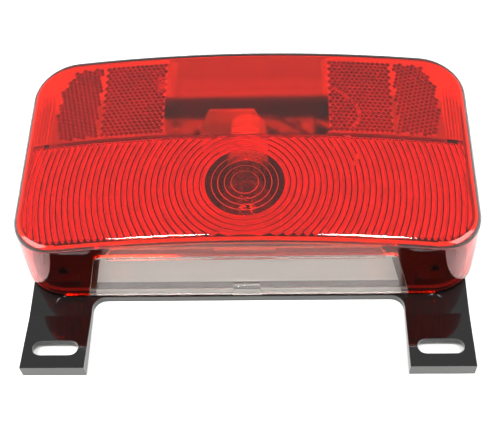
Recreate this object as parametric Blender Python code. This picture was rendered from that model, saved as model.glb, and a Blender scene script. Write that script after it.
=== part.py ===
"""Combination tail light for a trailer, with a licence-plate bracket.

Metres.  The lamp lies on its back: +X along its width, +Y towards its top, +Z out of its face.
The back plane, where the lamp meets the vehicle, is z = 0.
"""
import math

import bmesh
import bpy
from mathutils import Matrix, Vector

# ---------------------------------------------------------------- driving dimensions
GAP = 0.0003                        # clearance between pieces that touch

# red lens
LENS_HALF_W = 0.10875               # half of the 217.5 mm width, at the rear rim
LENS_HALF_H = 0.05875               # half of the 117.5 mm height, at the rear rim
LENS_CORNER = 0.022                 # corner radius, seen from the front
LENS_RIM_Z = 0.0046                 # height of the rear rim
LENS_CROWN_Z = 0.0501               # height of the face at its middle
LENS_WALL = 0.0024                  # wall thickness
LENS_EDGE = 0.0042                  # radius between wall and face
FACE_RADIUS = 0.610                 # the face bulges across the width
SIDE_DRAFT = math.radians(1.0)      # the side walls lean in towards the face
END_DRAFT = math.radians(3.8)       # so do the top and bottom walls

# clear licence window in the bottom wall
WINDOW_HALF_REAR = 0.0763           # half length along the rear rim
WINDOW_HALF_TOP = 0.0697            # half length along its top edge
WINDOW_TOP_Z = 0.0363
WINDOW_CORNER = 0.0040
WINDOW_WALL = 0.0022
WINDOW_BAR_HALF = 0.0635            # thick bar along the top edge
WINDOW_BAR_Z = 0.0326
WINDOW_LIP_Z = 0.0405               # the lip stands up behind the red wall
WINDOW_HOOK_HALF = 0.0140
PRY_TAB_HALF = 0.0070
PRY_TAB_Z0 = 0.0058
PRY_TAB_Z1 = 0.0140
PRY_TAB_PROUD = 0.0010

# black base
BASE_HALF_W = 0.1055
BASE_HALF_H = 0.0549
BASE_CORNER = 0.0186
BASE_WALL = 0.0042
BASE_FLOOR = 0.0022
BASE_TOP_Z = 0.0140
BASE_SILL_Z = 0.0085                # lower wall behind the licence window
BASE_SILL_HALF = 0.0800
GROOVE_Z0 = 0.0047
GROOVE_Z1 = 0.0080
GROOVE_DEPTH = 0.0020
BOLT_HOLE_R = 0.0026
UPPER_HOLE = (0.0800, 0.0380)
LOWER_HOLE = (0.0900, -0.0455)

# licence-plate bracket
BRACKET_HALF_W = 0.10395
BRACKET_INNER = 0.0742              # half of the space between the arms
BRACKET_TOP_Y = -0.0370
BRACKET_BAR_Y = -0.0595             # lower edge of the crossbar
BRACKET_FILLET = 0.0060
BRACKET_Z = 0.0040
BRACKET_SKIN = 0.0021
BRACKET_SKIRT = 0.0022
BEND_Y = -0.0693
TAB_TILT = math.radians(8.1)
TAB_LENGTH = 0.02905
PLATE_HOLE_HALF = 0.0889            # half of the 177.8 mm plate hole spacing
SLOT_ALONG = 0.0181                 # from the bend to the slot, along the tab
SLOT_LENGTH = 0.0215
SLOT_WIDTH = 0.0080
MARK_R = 0.0042                     # shallow moulding marks on the arms
MARK_DEPTH = 0.0004
MARK_PLACE = (0.0883, -0.0628)
SCREW_PLACE = (0.0600, -0.0455)
SCREW_R = 0.0019
SCREW_HEAD_R = 0.0038
SCREW_HEAD = 0.0024

# socket and bulb, on one axis along Y
AXIS_Z = 0.0260
BULB_Y = -0.0240                    # middle of the glass, under the rings' middle
GLASS_R = 0.01325
CAP_R = 0.0075
CAP_Y0 = -0.0030
CAP_Y1 = 0.0130
PIN_R = 0.0010
PIN_REACH = 0.0012
PIN_Y = (0.0050, 0.0080)            # the two pins stand at different heights
SHELL_R = 0.0079
SHELL_WALL = 0.0008
SHELL_Y0 = 0.0005
SHELL_Y1 = 0.0262
PUSH = 0.0015                       # how far the contacts give
TURN = math.radians(20.0)           # quarter-turn of the bayonet that stays in the slots
CONTACT_X = 0.0033
SPRING_R = 0.0054
SPRING_WIRE = 0.00045
SPRING_TURNS = 4

# socket bracket, a stamped angle
STRIP = 0.0012
STRIP_MIDDLE_X = -0.0078
UPRIGHT_Y = 0.0265
UPRIGHT_TOP_Z = 0.0372
UPRIGHT_HALF_TOP = 0.0110
UPRIGHT_HALF_LOW = 0.0170
FOOT_HALF = 0.0415
FOOT_Y = (0.0385, 0.0480)
RIVET_X = 0.0320
RIVET_Y = 0.0432

# wiring
GROMMET = (0.0500, 0.0140)
GROMMET_R = 0.0058
LEAD_R = 0.0011


# ---------------------------------------------------------------- helpers
def clear_scene():
    for old in list(bpy.data.objects):
        bpy.data.objects.remove(old, do_unlink=True)


def material(name, colour, roughness, metallic=0.0, transmission=0.0):
    found = bpy.data.materials.get(name)
    if found:
        return found
    made = bpy.data.materials.new(name)
    made.use_nodes = True
    shader = made.node_tree.nodes["Principled BSDF"]
    shader.inputs["Base Color"].default_value = (*colour, 1.0)
    shader.inputs["Roughness"].default_value = roughness
    shader.inputs["Metallic"].default_value = metallic
    shader.inputs["Transmission Weight"].default_value = transmission
    return made


def finish_object(name, bm, mat, parent=None, smooth=True):
    bmesh.ops.remove_doubles(bm, verts=bm.verts, dist=1e-7)
    bmesh.ops.recalc_face_normals(bm, faces=bm.faces)
    mesh = bpy.data.meshes.new(name)
    bm.to_mesh(mesh)
    bm.free()
    made = bpy.data.objects.new(name, mesh)
    bpy.context.scene.collection.objects.link(made)
    if smooth:
        mesh.shade_smooth()
        mesh.set_sharp_from_angle(angle=math.radians(32))
    if mat:
        mesh.materials.append(mat)
    if parent:
        attach(made, parent)
    return made


def attach(child, parent):
    child.parent = parent
    child.matrix_parent_inverse = Matrix.Translation(-parent.location)


def bridge(bm, loops, close_ends=True):
    """Skin a row of loops that have the same number of points."""
    rings = [[bm.verts.new(point) for point in loop] for loop in loops]
    for low, high in zip(rings, rings[1:]):
        for i in range(len(low)):
            j = (i + 1) % len(low)
            bm.faces.new((low[i], low[j], high[j], high[i]))
    if close_ends:
        bm.faces.new(list(reversed(rings[0])))
        bm.faces.new(rings[-1])
    return rings


def prism(outline, z0, z1):
    bm = bmesh.new()
    bridge(bm, [[(x, y, z0) for x, y in outline], [(x, y, z1) for x, y in outline]])
    return bm


def arc(cx, cy, radius, start, end, steps):
    turn = math.radians(end - start) / steps
    first = math.radians(start)
    return [(cx + radius * math.cos(first + turn * i), cy + radius * math.sin(first + turn * i))
            for i in range(steps + 1)]


def rounded_rectangle(half_w, half_h, radius, steps=8, along=1):
    """Counter-clockwise from the lower right corner; `along` splits the top and bottom edges."""
    x = half_w - radius
    y = half_h - radius
    split = [-x + 2 * x * i / along for i in range(1, along)]
    points = arc(x, -y, radius, -90, 0, steps)
    points += arc(x, y, radius, 0, 90, steps)
    points += [(s, half_h) for s in reversed(split)]
    points += arc(-x, y, radius, 90, 180, steps)
    points += arc(-x, -y, radius, 180, 270, steps)
    points += [(s, -half_h) for s in split]
    return points


def circle(cx, cy, radius, steps=24):
    return arc(cx, cy, radius, 0, 360 - 360 / steps, steps - 1)


def slot(cx, cy, length, width, steps=8):
    run = (length - width) / 2
    return arc(cx + run, cy, width / 2, -90, 90, steps) + arc(cx - run, cy, width / 2, 90, 270, steps)


def turned(profile, steps=32, y_axis=True):
    """Revolve a closed (radius, along) profile about the socket's axis, or about Z."""
    loops = []
    for i in range(steps):
        angle = 2 * math.pi * i / steps
        side, up = math.cos(angle), math.sin(angle)
        if y_axis:
            loops.append([(r * side, along, AXIS_Z + r * up) for r, along in profile])
        else:
            loops.append([(r * side, r * up, along) for r, along in profile])
    bm = bmesh.new()
    rings = [[bm.verts.new(point) for point in loop] for loop in loops]
    count = len(profile)
    for i in range(steps):
        here, there = rings[i], rings[(i + 1) % steps]
        for k in range(count):
            n = (k + 1) % count
            if profile[k][0] == 0 and profile[n][0] == 0:
                continue
            corners = [here[k], here[n], there[n], there[k]]
            if profile[k][0] == 0:
                corners = [here[k], here[n], there[n]]
            elif profile[n][0] == 0:
                corners = [here[k], here[n], there[k]]
            bm.faces.new(corners)
    return bm


def moved(bm, x=0.0, y=0.0, z=0.0):
    bmesh.ops.translate(bm, verts=bm.verts, vec=(x, y, z))
    return bm


def tool(name, bm):
    made = finish_object("cut_" + name, bm, None, smooth=False)
    made.hide_render = True
    made.display_type = "WIRE"
    return made


def boolean(target, other, operation="DIFFERENCE"):
    step = target.modifiers.new(other.name, "BOOLEAN")
    step.operation = operation
    step.solver = "EXACT"
    step.object = other


def tube(name, points, radius, mat, parent, resolution=2):
    line = bpy.data.curves.new(name, "CURVE")
    line.dimensions = "3D"
    line.bevel_depth = radius
    line.bevel_resolution = resolution
    line.use_fill_caps = True
    spline = line.splines.new("POLY")
    spline.points.add(len(points) - 1)
    for target, point in zip(spline.points, points):
        target.co = (*point, 1.0)
    made = bpy.data.objects.new(name, line)
    bpy.context.scene.collection.objects.link(made)
    line.materials.append(mat)
    attach(made, parent)
    return made


def smooth_route(points, steps=5):
    """Points of a Catmull-Rom curve through the route's own points."""
    route = [Vector(p) for p in points]
    ends = [2 * route[0] - route[1]] + route + [2 * route[-1] - route[-2]]
    result = []
    for a, b, c, d in zip(ends, ends[1:], ends[2:], ends[3:]):
        for i in range(steps):
            t = i / steps
            result.append(0.5 * (2 * b + (c - a) * t + (2 * a - 5 * b + 4 * c - d) * t ** 2
                                 + (3 * b - a - 3 * c + d) * t ** 3))
    return result + [route[-1]]


def empty(name, place, parent=None):
    made = bpy.data.objects.new(name, None)
    made.location = place
    bpy.context.scene.collection.objects.link(made)
    if parent:
        attach(made, parent)
    return made


# ---------------------------------------------------------------- lens and window
def face_z(x):
    return LENS_CROWN_Z - x * x / (2 * FACE_RADIUS)


def leaned(x, y, z, inset):
    """A point of the rear outline, moved in by the draft of the wall at its height."""
    rise = z - LENS_RIM_Z
    half_w = LENS_HALF_W - inset
    half_h = LENS_HALF_H - inset
    return (x * (half_w - rise * math.tan(SIDE_DRAFT)) / half_w,
            y * (half_h - rise * math.tan(END_DRAFT)) / half_h, z)


def shell_loops(inset, edge, rim_z):
    """Loops from the rear rim up the wall and round the edge, onto the face."""
    outline = rounded_rectangle(LENS_HALF_W - inset, LENS_HALF_H - inset, LENS_CORNER - inset, 8, 16)
    loops = [[leaned(x, y, rim_z, inset) for x, y in outline]]
    steps = 4
    for i in range(steps + 1):
        angle = math.pi / 2 * i / steps
        pull = edge * (1 - math.cos(angle))
        drop = inset + edge * (1 - math.sin(angle))
        loop = []
        for x, y in outline:
            bx, by, bz = leaned(x, y, face_z(x) - drop, inset)
            core_x = LENS_HALF_W - LENS_CORNER
            core_y = LENS_HALF_H - LENS_CORNER
            dx = max(abs(x) - core_x, 0.0)
            dy = max(abs(y) - core_y, 0.0)
            reach = math.hypot(dx, dy) or 1.0
            bx -= math.copysign(pull * dx / reach, x)
            by -= math.copysign(pull * dy / reach, y)
            loop.append((bx, by, face_z(bx) - drop))
        loops.append(loop)
    return loops


def close_face(bm, ring):
    """Fill the face with strips that run straight along Y between points of equal x."""
    verts = sorted(ring, key=lambda v: (round(v.co.x, 7), v.co.y))
    pairs = []
    for v in verts:
        if v.co.y < 0:
            partner = min((w for w in ring if w.co.y > 0), key=lambda w: (w.co - Vector(
                (v.co.x, -v.co.y, v.co.z))).length)
            pairs.append((v, partner))
    pairs.sort(key=lambda pair: pair[0].co.x)
    for (a, b), (c, d) in zip(pairs, pairs[1:]):
        bm.faces.new((a, c, d, b))


def wall_slab(half_low, half_top, z0, z1, front, back, corner=0.0):
    """A slab in the plane of the leaning bottom wall; front and back are depths into the lamp."""
    if corner:
        outline = [(-half_low, z0), (half_low, z0)]
        outline += arc(half_top - corner, z1 - corner, corner, 0, 90, 5)
        outline += arc(-half_top + corner, z1 - corner, corner, 90, 180, 5)
    else:
        outline = [(-half_low, z0), (half_low, z0), (half_top, z1), (-half_top, z1)]
    bm = bmesh.new()

    def place(x, z, depth):
        lean = (z - LENS_RIM_Z) * math.tan(END_DRAFT)
        return (x, -LENS_HALF_H + lean + depth, z)

    bridge(bm, [[place(x, z, back) for x, z in outline], [place(x, z, front) for x, z in outline]])
    return bm


def make_lens(parent, red):
    bm = bmesh.new()
    outer = bridge(bm, shell_loops(0.0, LENS_EDGE, LENS_RIM_Z), close_ends=False)
    inner = bridge(bm, shell_loops(LENS_WALL, LENS_EDGE - LENS_WALL, LENS_RIM_Z), close_ends=False)
    close_face(bm, outer[-1])
    close_face(bm, inner[-1])
    rim_out, rim_in = outer[0], inner[0]
    for i in range(len(rim_out)):
        j = (i + 1) % len(rim_out)
        bm.faces.new((rim_out[i], rim_out[j], rim_in[j], rim_in[i]))
    lens = finish_object("lens", bm, red, parent)
    opening = wall_slab(WINDOW_HALF_REAR + GAP + 0.0002, WINDOW_HALF_TOP + GAP, LENS_RIM_Z - 0.001,
                        WINDOW_TOP_Z + GAP, -0.002, 0.006, WINDOW_CORNER)
    boolean(lens, tool("window_opening", opening))
    return lens


def make_window(parent, clear):
    inner = LENS_WALL + GAP
    plate = wall_slab(WINDOW_HALF_REAR, WINDOW_HALF_TOP, LENS_RIM_Z, WINDOW_TOP_Z, 0.0, WINDOW_WALL,
                      WINDOW_CORNER)
    window = finish_object("license_window", plate, clear, parent, smooth=False)
    extras = {
        "window_bar": wall_slab(WINDOW_BAR_HALF, WINDOW_BAR_HALF, WINDOW_BAR_Z, WINDOW_TOP_Z - 0.0006,
                                WINDOW_WALL / 2, inner + 0.0018),
        "window_lip": wall_slab(WINDOW_BAR_HALF, WINDOW_BAR_HALF - 0.003, WINDOW_TOP_Z - 0.002,
                                WINDOW_LIP_Z, inner, inner + 0.0016),
        "window_hook": wall_slab(WINDOW_HOOK_HALF, WINDOW_HOOK_HALF, WINDOW_BAR_Z + 0.0008,
                                 WINDOW_LIP_Z - 0.0025, inner + 0.0008, inner + 0.0030),
        "pry_tab": wall_slab(PRY_TAB_HALF, PRY_TAB_HALF - 0.0008, PRY_TAB_Z0, PRY_TAB_Z1,
                             -PRY_TAB_PROUD, WINDOW_WALL / 2),
    }
    for name, bm in extras.items():
        boolean(window, tool(name, bm), "UNION")
    return window


# ---------------------------------------------------------------- base, gasket and bracket
def make_base(parent, black):
    outline = rounded_rectangle(BASE_HALF_W, BASE_HALF_H, BASE_CORNER, 8)
    base = finish_object("base_housing", prism(outline, 0.0, BASE_TOP_Z), black, parent)
    inside = rounded_rectangle(BASE_HALF_W - BASE_WALL, BASE_HALF_H - BASE_WALL,
                               BASE_CORNER - BASE_WALL, 8)
    upper = tool("base_inside", prism(inside, BASE_FLOOR, 0.02))
    step_y = BRACKET_TOP_Y + GAP
    raised = box(-BASE_HALF_W, -0.07, -0.001, BASE_HALF_W, step_y + BASE_FLOOR,
                 BRACKET_Z + GAP + BASE_FLOOR)
    boolean(upper, tool("raised_floor", raised))
    boolean(base, upper)
    recess = box(-BRACKET_HALF_W - GAP, -0.07, -0.001, BRACKET_HALF_W + GAP, step_y, BRACKET_Z + GAP)
    boolean(base, tool("bracket_recess", recess))
    ring = prism(rounded_rectangle(BASE_HALF_W + 0.002, BASE_HALF_H + 0.002, BASE_CORNER + 0.002, 8),
                 GROOVE_Z0, GROOVE_Z1)
    ring = tool("groove", ring)
    core = rounded_rectangle(BASE_HALF_W - GROOVE_DEPTH, BASE_HALF_H - GROOVE_DEPTH,
                             BASE_CORNER - GROOVE_DEPTH, 8)
    boolean(ring, tool("groove_core", prism(core, 0.0, BASE_TOP_Z)))
    boolean(base, ring)
    sill = box(-BASE_SILL_HALF, -0.07, BASE_SILL_Z, BASE_SILL_HALF, -BASE_HALF_H + BASE_WALL + 0.001, 0.02)
    boolean(base, tool("sill", sill))
    holes = [("grommet", GROMMET, GROMMET_R + GAP)]
    for side in (-1, 1):
        for label, place in (("upper", UPPER_HOLE), ("lower", LOWER_HOLE)):
            holes.append((f"{label}_{side + 1}", (side * place[0], place[1]), BOLT_HOLE_R))
        holes.append((f"screw_{side + 1}", (side * SCREW_PLACE[0], SCREW_PLACE[1]), SCREW_R + GAP))
        rivet_x = STRIP_MIDDLE_X + side * RIVET_X
        holes.append((f"rivet_{side + 1}", (rivet_x, RIVET_Y), 0.0016 + GAP))
    for name, place, radius in holes:
        boolean(base, tool("base_hole_" + name, prism(circle(*place, radius), -0.001, 0.012)))
    return base


def box(x0, y0, z0, x1, y1, z1):
    return prism([(x0, y0), (x1, y0), (x1, y1), (x0, y1)], z0, z1)


def make_gasket(parent, grey):
    outer = rounded_rectangle(BASE_HALF_W + 0.00045, BASE_HALF_H + 0.00045, BASE_CORNER, 8)
    inner = rounded_rectangle(BASE_HALF_W - GROOVE_DEPTH + GAP, BASE_HALF_H - GROOVE_DEPTH + GAP,
                              BASE_CORNER - GROOVE_DEPTH + GAP, 8)
    bm = bmesh.new()
    z0 = GROOVE_Z0 + GAP
    z1 = GROOVE_Z1 - GAP
    loops = [[(x, y, z) for x, y in line] for line, z in
             ((outer, z0), (outer, z1), (inner, z1), (inner, z0), (outer, z0))]
    bridge(bm, loops, close_ends=False)
    return finish_object("lens_gasket", bm, grey, parent)


def bracket_outline(inset):
    """The bracket seen from the front: a crossbar with an arm and a tab at each end."""
    end_y = BEND_Y - TAB_LENGTH * math.cos(TAB_TILT) + inset
    wide = BRACKET_HALF_W - inset
    inner = BRACKET_INNER + inset
    bar_y = BRACKET_BAR_Y + inset
    fillet = BRACKET_FILLET + inset
    top = BRACKET_TOP_Y - GAP - inset
    points = [(wide, end_y), (wide, top), (-wide, top), (-wide, end_y), (-inner, end_y)]
    points += arc(-inner + fillet, bar_y - fillet, fillet, 180, 90, 6)
    points += arc(inner - fillet, bar_y - fillet, fillet, 90, 0, 6)
    points += [(inner, end_y)]
    return points


def sky(drop):
    """Everything above the bracket's bent upper surface, lowered by `drop`."""
    far_y = -0.12
    rise = (BEND_Y - far_y) * math.tan(TAB_TILT)
    outline = [(-0.02, BRACKET_Z - drop), (BEND_Y, BRACKET_Z - drop), (far_y, BRACKET_Z - drop + rise),
               (far_y, 0.05), (-0.02, 0.05)]
    bm = bmesh.new()
    bridge(bm, [[(x, y, z) for y, z in outline] for x in (-0.12, 0.12)])
    return bm


def make_bracket(parent, black):
    bracket = finish_object("license_bracket", prism(bracket_outline(0.0), 0.0, 0.012), black, parent)
    boolean(bracket, tool("above_bracket", sky(0.0)))
    pocket = tool("bracket_pocket", prism(bracket_outline(BRACKET_SKIRT), -0.001, 0.012))
    boolean(pocket, tool("above_pocket", sky(BRACKET_SKIN)))
    for side in (-1, 1):
        for label, place, radius in (("screw", SCREW_PLACE, 0.0042), ("bolt", LOWER_HOLE, 0.0052)):
            boss = prism(circle(side * place[0], place[1], radius), -0.002, 0.02)
            boolean(pocket, tool(f"{label}_boss_{side + 1}", boss))
    boolean(bracket, pocket)
    slot_y = BEND_Y - SLOT_ALONG * math.cos(TAB_TILT)
    for side in (-1, 1):
        opening = prism(slot(side * PLATE_HOLE_HALF, 0.0, SLOT_LENGTH, SLOT_WIDTH), -0.012, 0.012)
        bmesh.ops.rotate(opening, verts=opening.verts, matrix=Matrix.Rotation(-TAB_TILT, 3, "X"))
        height = BRACKET_Z + SLOT_ALONG * math.sin(TAB_TILT)
        boolean(bracket, tool(f"plate_slot_{side + 1}", moved(opening, 0, slot_y, height)))
        mark = circle(side * MARK_PLACE[0], MARK_PLACE[1], MARK_R)
        boolean(bracket, tool(f"mark_{side + 1}", prism(mark, BRACKET_Z - MARK_DEPTH, 0.006)))
        for label, place, radius in (("screw", SCREW_PLACE, SCREW_R + GAP), ("bolt", LOWER_HOLE, BOLT_HOLE_R)):
            hole = prism(circle(side * place[0], place[1], radius), -0.002, 0.008)
            boolean(bracket, tool(f"{label}_hole_{side + 1}", hole))
    return bracket


def make_screws(parent, steel):
    top = BRACKET_Z + GAP + BASE_FLOOR + GAP
    for side, name in ((-1, "bracket_screw_left"), (1, "bracket_screw_right")):
        dome = [(SCREW_HEAD_R * math.cos(a), top + 0.0010 + (SCREW_HEAD - 0.0010) * math.sin(a))
                for a in (0.0, 0.5, 1.0)]
        profile = [(0, 0.0006), (SCREW_R, 0.0012), (SCREW_R, top), (SCREW_HEAD_R, top), *dome,
                   (0, top + SCREW_HEAD)]
        bm = turned(profile, 20, y_axis=False)
        finish_object(name, moved(bm, side * SCREW_PLACE[0], SCREW_PLACE[1]), steel, parent)


# ---------------------------------------------------------------- socket
def make_socket_bracket(parent, zinc):
    z0 = BASE_FLOOR + GAP
    mid = STRIP_MIDDLE_X
    low = UPRIGHT_HALF_LOW
    reach = FOOT_HALF
    relief = 0.0055
    front, back = FOOT_Y
    foot = [(mid - reach, front), (mid - low - relief, front), (mid - low - relief, front + 0.003),
            (mid - low, front + 0.003), (mid - low, UPRIGHT_Y), (mid + low, UPRIGHT_Y),
            (mid + low, front + 0.003), (mid + low + relief, front + 0.003), (mid + low + relief, front),
            (mid + reach, front), (mid + reach, back), (mid - reach, back)]
    strip = finish_object("socket_bracket", prism(foot, z0, z0 + STRIP), zinc, parent, smooth=False)
    top = UPRIGHT_HALF_TOP
    shoulder = AXIS_Z - 0.004
    face = [(mid - low, z0 + 0.0001), (mid + low, z0 + 0.0001), (mid + low, shoulder),
            (mid + top, UPRIGHT_TOP_Z), (mid - top, UPRIGHT_TOP_Z), (mid - low, shoulder)]
    bm = bmesh.new()
    bridge(bm, [[(x, y, z) for x, z in face] for y in (UPRIGHT_Y + STRIP, UPRIGHT_Y)])
    boolean(strip, tool("upright", bm), "UNION")
    wires = bmesh.new()
    hole = circle(0.0, AXIS_Z, 0.0042)
    bridge(wires, [[(x, y, z) for x, z in hole] for y in (UPRIGHT_Y + 0.004, UPRIGHT_Y - 0.004)])
    boolean(strip, tool("wire_hole", wires))
    for side in (-1, 1):
        hole = prism(circle(mid + side * RIVET_X, RIVET_Y, 0.0016 + GAP), z0 - 0.002, z0 + 0.004)
        boolean(strip, tool(f"strip_rivet_{side + 1}", hole))
    return strip


def make_rivets(parent, steel):
    foot = BASE_FLOOR + GAP + STRIP + GAP
    for side, name in ((-1, "rivet_left"), (1, "rivet_right")):
        profile = [(0, 0.0004), (0.0016, 0.0004), (0.0016, foot), (0.0031, foot), (0.0029, foot + 0.0006),
                   (0.0018, foot + 0.0012), (0, foot + 0.0014)]
        bm = turned(profile, 16, y_axis=False)
        finish_object(name, moved(bm, STRIP_MIDDLE_X + side * RIVET_X, RIVET_Y), steel, parent)


def make_shell(parent, zinc):
    outer = SHELL_R + SHELL_WALL
    hole = 0.0042
    profile = [(SHELL_R, SHELL_Y0), (outer, SHELL_Y0), (outer, SHELL_Y1), (hole, SHELL_Y1),
               (hole, SHELL_Y1 - SHELL_WALL), (SHELL_R, SHELL_Y1 - SHELL_WALL)]
    shell = finish_object("socket_shell", turned(profile, 36), zinc, parent)
    reach = outer + 0.001
    width = PIN_R + GAP
    for index, pin_y in enumerate(PIN_Y):
        side = 1 - 2 * index
        entry = box(0.004, SHELL_Y0 - 0.002, -width, reach, pin_y + PUSH + width, width)
        sweep = turned_sector(0.004, reach, pin_y - width, pin_y + PUSH + width)
        for label, bm in (("entry", entry), ("sweep", sweep)):
            angle = -TURN if label == "entry" else 0.0
            turn = Matrix.Rotation(angle, 3, "Y")
            if side < 0:
                turn = Matrix.Rotation(math.pi, 3, "Y") @ turn
            bmesh.ops.rotate(bm, verts=bm.verts, matrix=turn)
            boolean(shell, tool(f"{label}_{index}", moved(bm, 0, 0, AXIS_Z)))
    return shell


def turned_sector(r0, r1, y0, y1, steps=8):
    """The part of a ring about Y that a bayonet pin sweeps, with its clearance."""
    spare = (PIN_R + GAP) / CAP_R
    loops = []
    for i in range(steps + 1):
        angle = -spare + (TURN + 2 * spare) * i / steps
        c, s = math.cos(angle), math.sin(angle)
        loops.append([(r * c, y, r * s) for r, y in ((r0, y0), (r1, y0), (r1, y1), (r0, y1))])
    bm = bmesh.new()
    bridge(bm, loops)
    return bm


def make_plunger(parent, phenolic, brass):
    y0 = CAP_Y1 + 0.0042
    profile = [(0, y0), (SHELL_R - 0.0004, y0), (SHELL_R - 0.0004, y0 + 0.0016),
               (SPRING_R - 0.0010, y0 + 0.0016), (SPRING_R - 0.0010, y0 + 0.0028), (0, y0 + 0.0028)]
    plunger = finish_object("contact_plunger", turned(profile, 28), phenolic, parent)
    for side, name in ((-1, "contact_tail"), (1, "contact_stop")):
        tip = y0 - GAP
        head = [(0, tip - 0.0014), (0.0012, tip - 0.0013), (0.0018, tip - 0.0008), (0.0018, tip), (0, tip)]
        finish_object(name, moved(turned(head, 16), side * CONTACT_X), brass, parent)
    return y0 + 0.0016


def make_spring(parent, steel, y_start):
    y0 = y_start + SPRING_WIRE + GAP
    y1 = SHELL_Y1 - SHELL_WALL - SPRING_WIRE - GAP
    count = SPRING_TURNS * 14
    points = []
    for i in range(count + 1):
        share = i / count
        angle = 2 * math.pi * SPRING_TURNS * share
        points.append((SPRING_R * math.cos(angle), y0 + (y1 - y0) * share,
                       AXIS_Z + SPRING_R * math.sin(angle)))
    tube("contact_spring", points, SPRING_WIRE, steel, parent, resolution=1)


# ---------------------------------------------------------------- bulb
def glass_profile(radius, neck, y_tip, y_end):
    """Half outline of the envelope, from the tip on the axis to the neck's open end."""
    middle = BULB_Y
    rear = middle + radius * 0.62
    points = []
    for i in range(9):
        angle = math.pi * i / 8 * 0.76
        points.append((radius * math.sin(angle), middle - (middle - y_tip) * math.cos(angle)))
    last_r, last_y = points[-1]
    points[0] = (0.0, y_tip)
    shoulder_y = max(last_y + 0.004, rear)
    points.append((neck + (last_r - neck) * 0.18, shoulder_y))
    points.append((neck, shoulder_y + 0.0035))
    points.append((neck, y_end))
    return points


def make_bulb(parent, brass, glass, black, solder, tungsten):
    neck = CAP_R - 0.0011
    glass_end = CAP_Y0 + 0.0070
    outside = glass_profile(GLASS_R, neck, BULB_Y - GLASS_R - 0.0012, glass_end)
    inside = glass_profile(GLASS_R - 0.0007, neck - 0.0008, BULB_Y - GLASS_R - 0.0005, glass_end)
    envelope = turned(outside + list(reversed(inside)), 28)
    finish_object("bulb_glass", envelope, glass, parent)
    cap_profile = [(neck + GAP, CAP_Y0), (CAP_R, CAP_Y0), (CAP_R, CAP_Y1 - 0.0006),
                   (CAP_R - 0.0006, CAP_Y1), (0, CAP_Y1), (0, glass_end + GAP), (neck + GAP, glass_end + GAP)]
    cap = finish_object("bulb_cap", turned(cap_profile, 32), brass, parent)
    for index, pin_y in enumerate(PIN_Y):
        side = 1 - 2 * index
        pin = prism(circle(0.0, 0.0, PIN_R, 12), 0.005, CAP_R + PIN_REACH)
        bmesh.ops.rotate(pin, verts=pin.verts, matrix=Matrix.Rotation(side * math.pi / 2, 3, "Y"))
        boolean(cap, tool(f"bayonet_pin_{index}", moved(pin, 0, pin_y, AXIS_Z)), "UNION")
    stem_y0 = CAP_Y0 - 0.0035
    inner_neck = neck - 0.0008 - GAP
    stem = [(0, stem_y0), (0.0018, stem_y0 + 0.0006), (0.0022, stem_y0 + 0.0040),
            (inner_neck, glass_end - 0.0018), (inner_neck, glass_end), (0, glass_end)]
    finish_object("bulb_stem", turned(stem, 20), glass, parent)
    plate = [(0, CAP_Y1 + GAP), (0.0062, CAP_Y1 + GAP), (0.0058, CAP_Y1 + 0.0011), (0, CAP_Y1 + 0.0011)]
    finish_object("bulb_insulator", turned(plate, 24), black, parent)
    for side, name in ((-1, "bulb_contact_tail"), (1, "bulb_contact_stop")):
        y0 = CAP_Y1 + 0.0011 + GAP
        bump = [(0, y0), (0.0019, y0), (0.0015, y0 + 0.0006), (0.0008, y0 + 0.0009), (0, y0 + 0.0010)]
        finish_object(name, moved(turned(bump, 16), side * CONTACT_X), solder, parent)
    for side, name, length in ((-1, "filament_tail", 0.0036), (1, "filament_stop", 0.0030)):
        z = AXIS_Z + side * 0.0016
        y_far = BULB_Y - side * 0.0012
        route = [(-0.0016, stem_y0 - GAP, AXIS_Z + side * 0.0006), (-0.0026, stem_y0 - 0.005, z),
                 (-length, y_far + 0.001, z), (-length + 0.0006, y_far, z), (0, y_far - 0.0010, z),
                 (length - 0.0006, y_far, z), (length, y_far + 0.001, z),
                 (0.0026, stem_y0 - 0.005, z), (0.0016, stem_y0 - GAP, AXIS_Z + side * 0.0006)]
        tube(name, smooth_route(route, 3), 0.00022, tungsten, parent, resolution=1)


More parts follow.
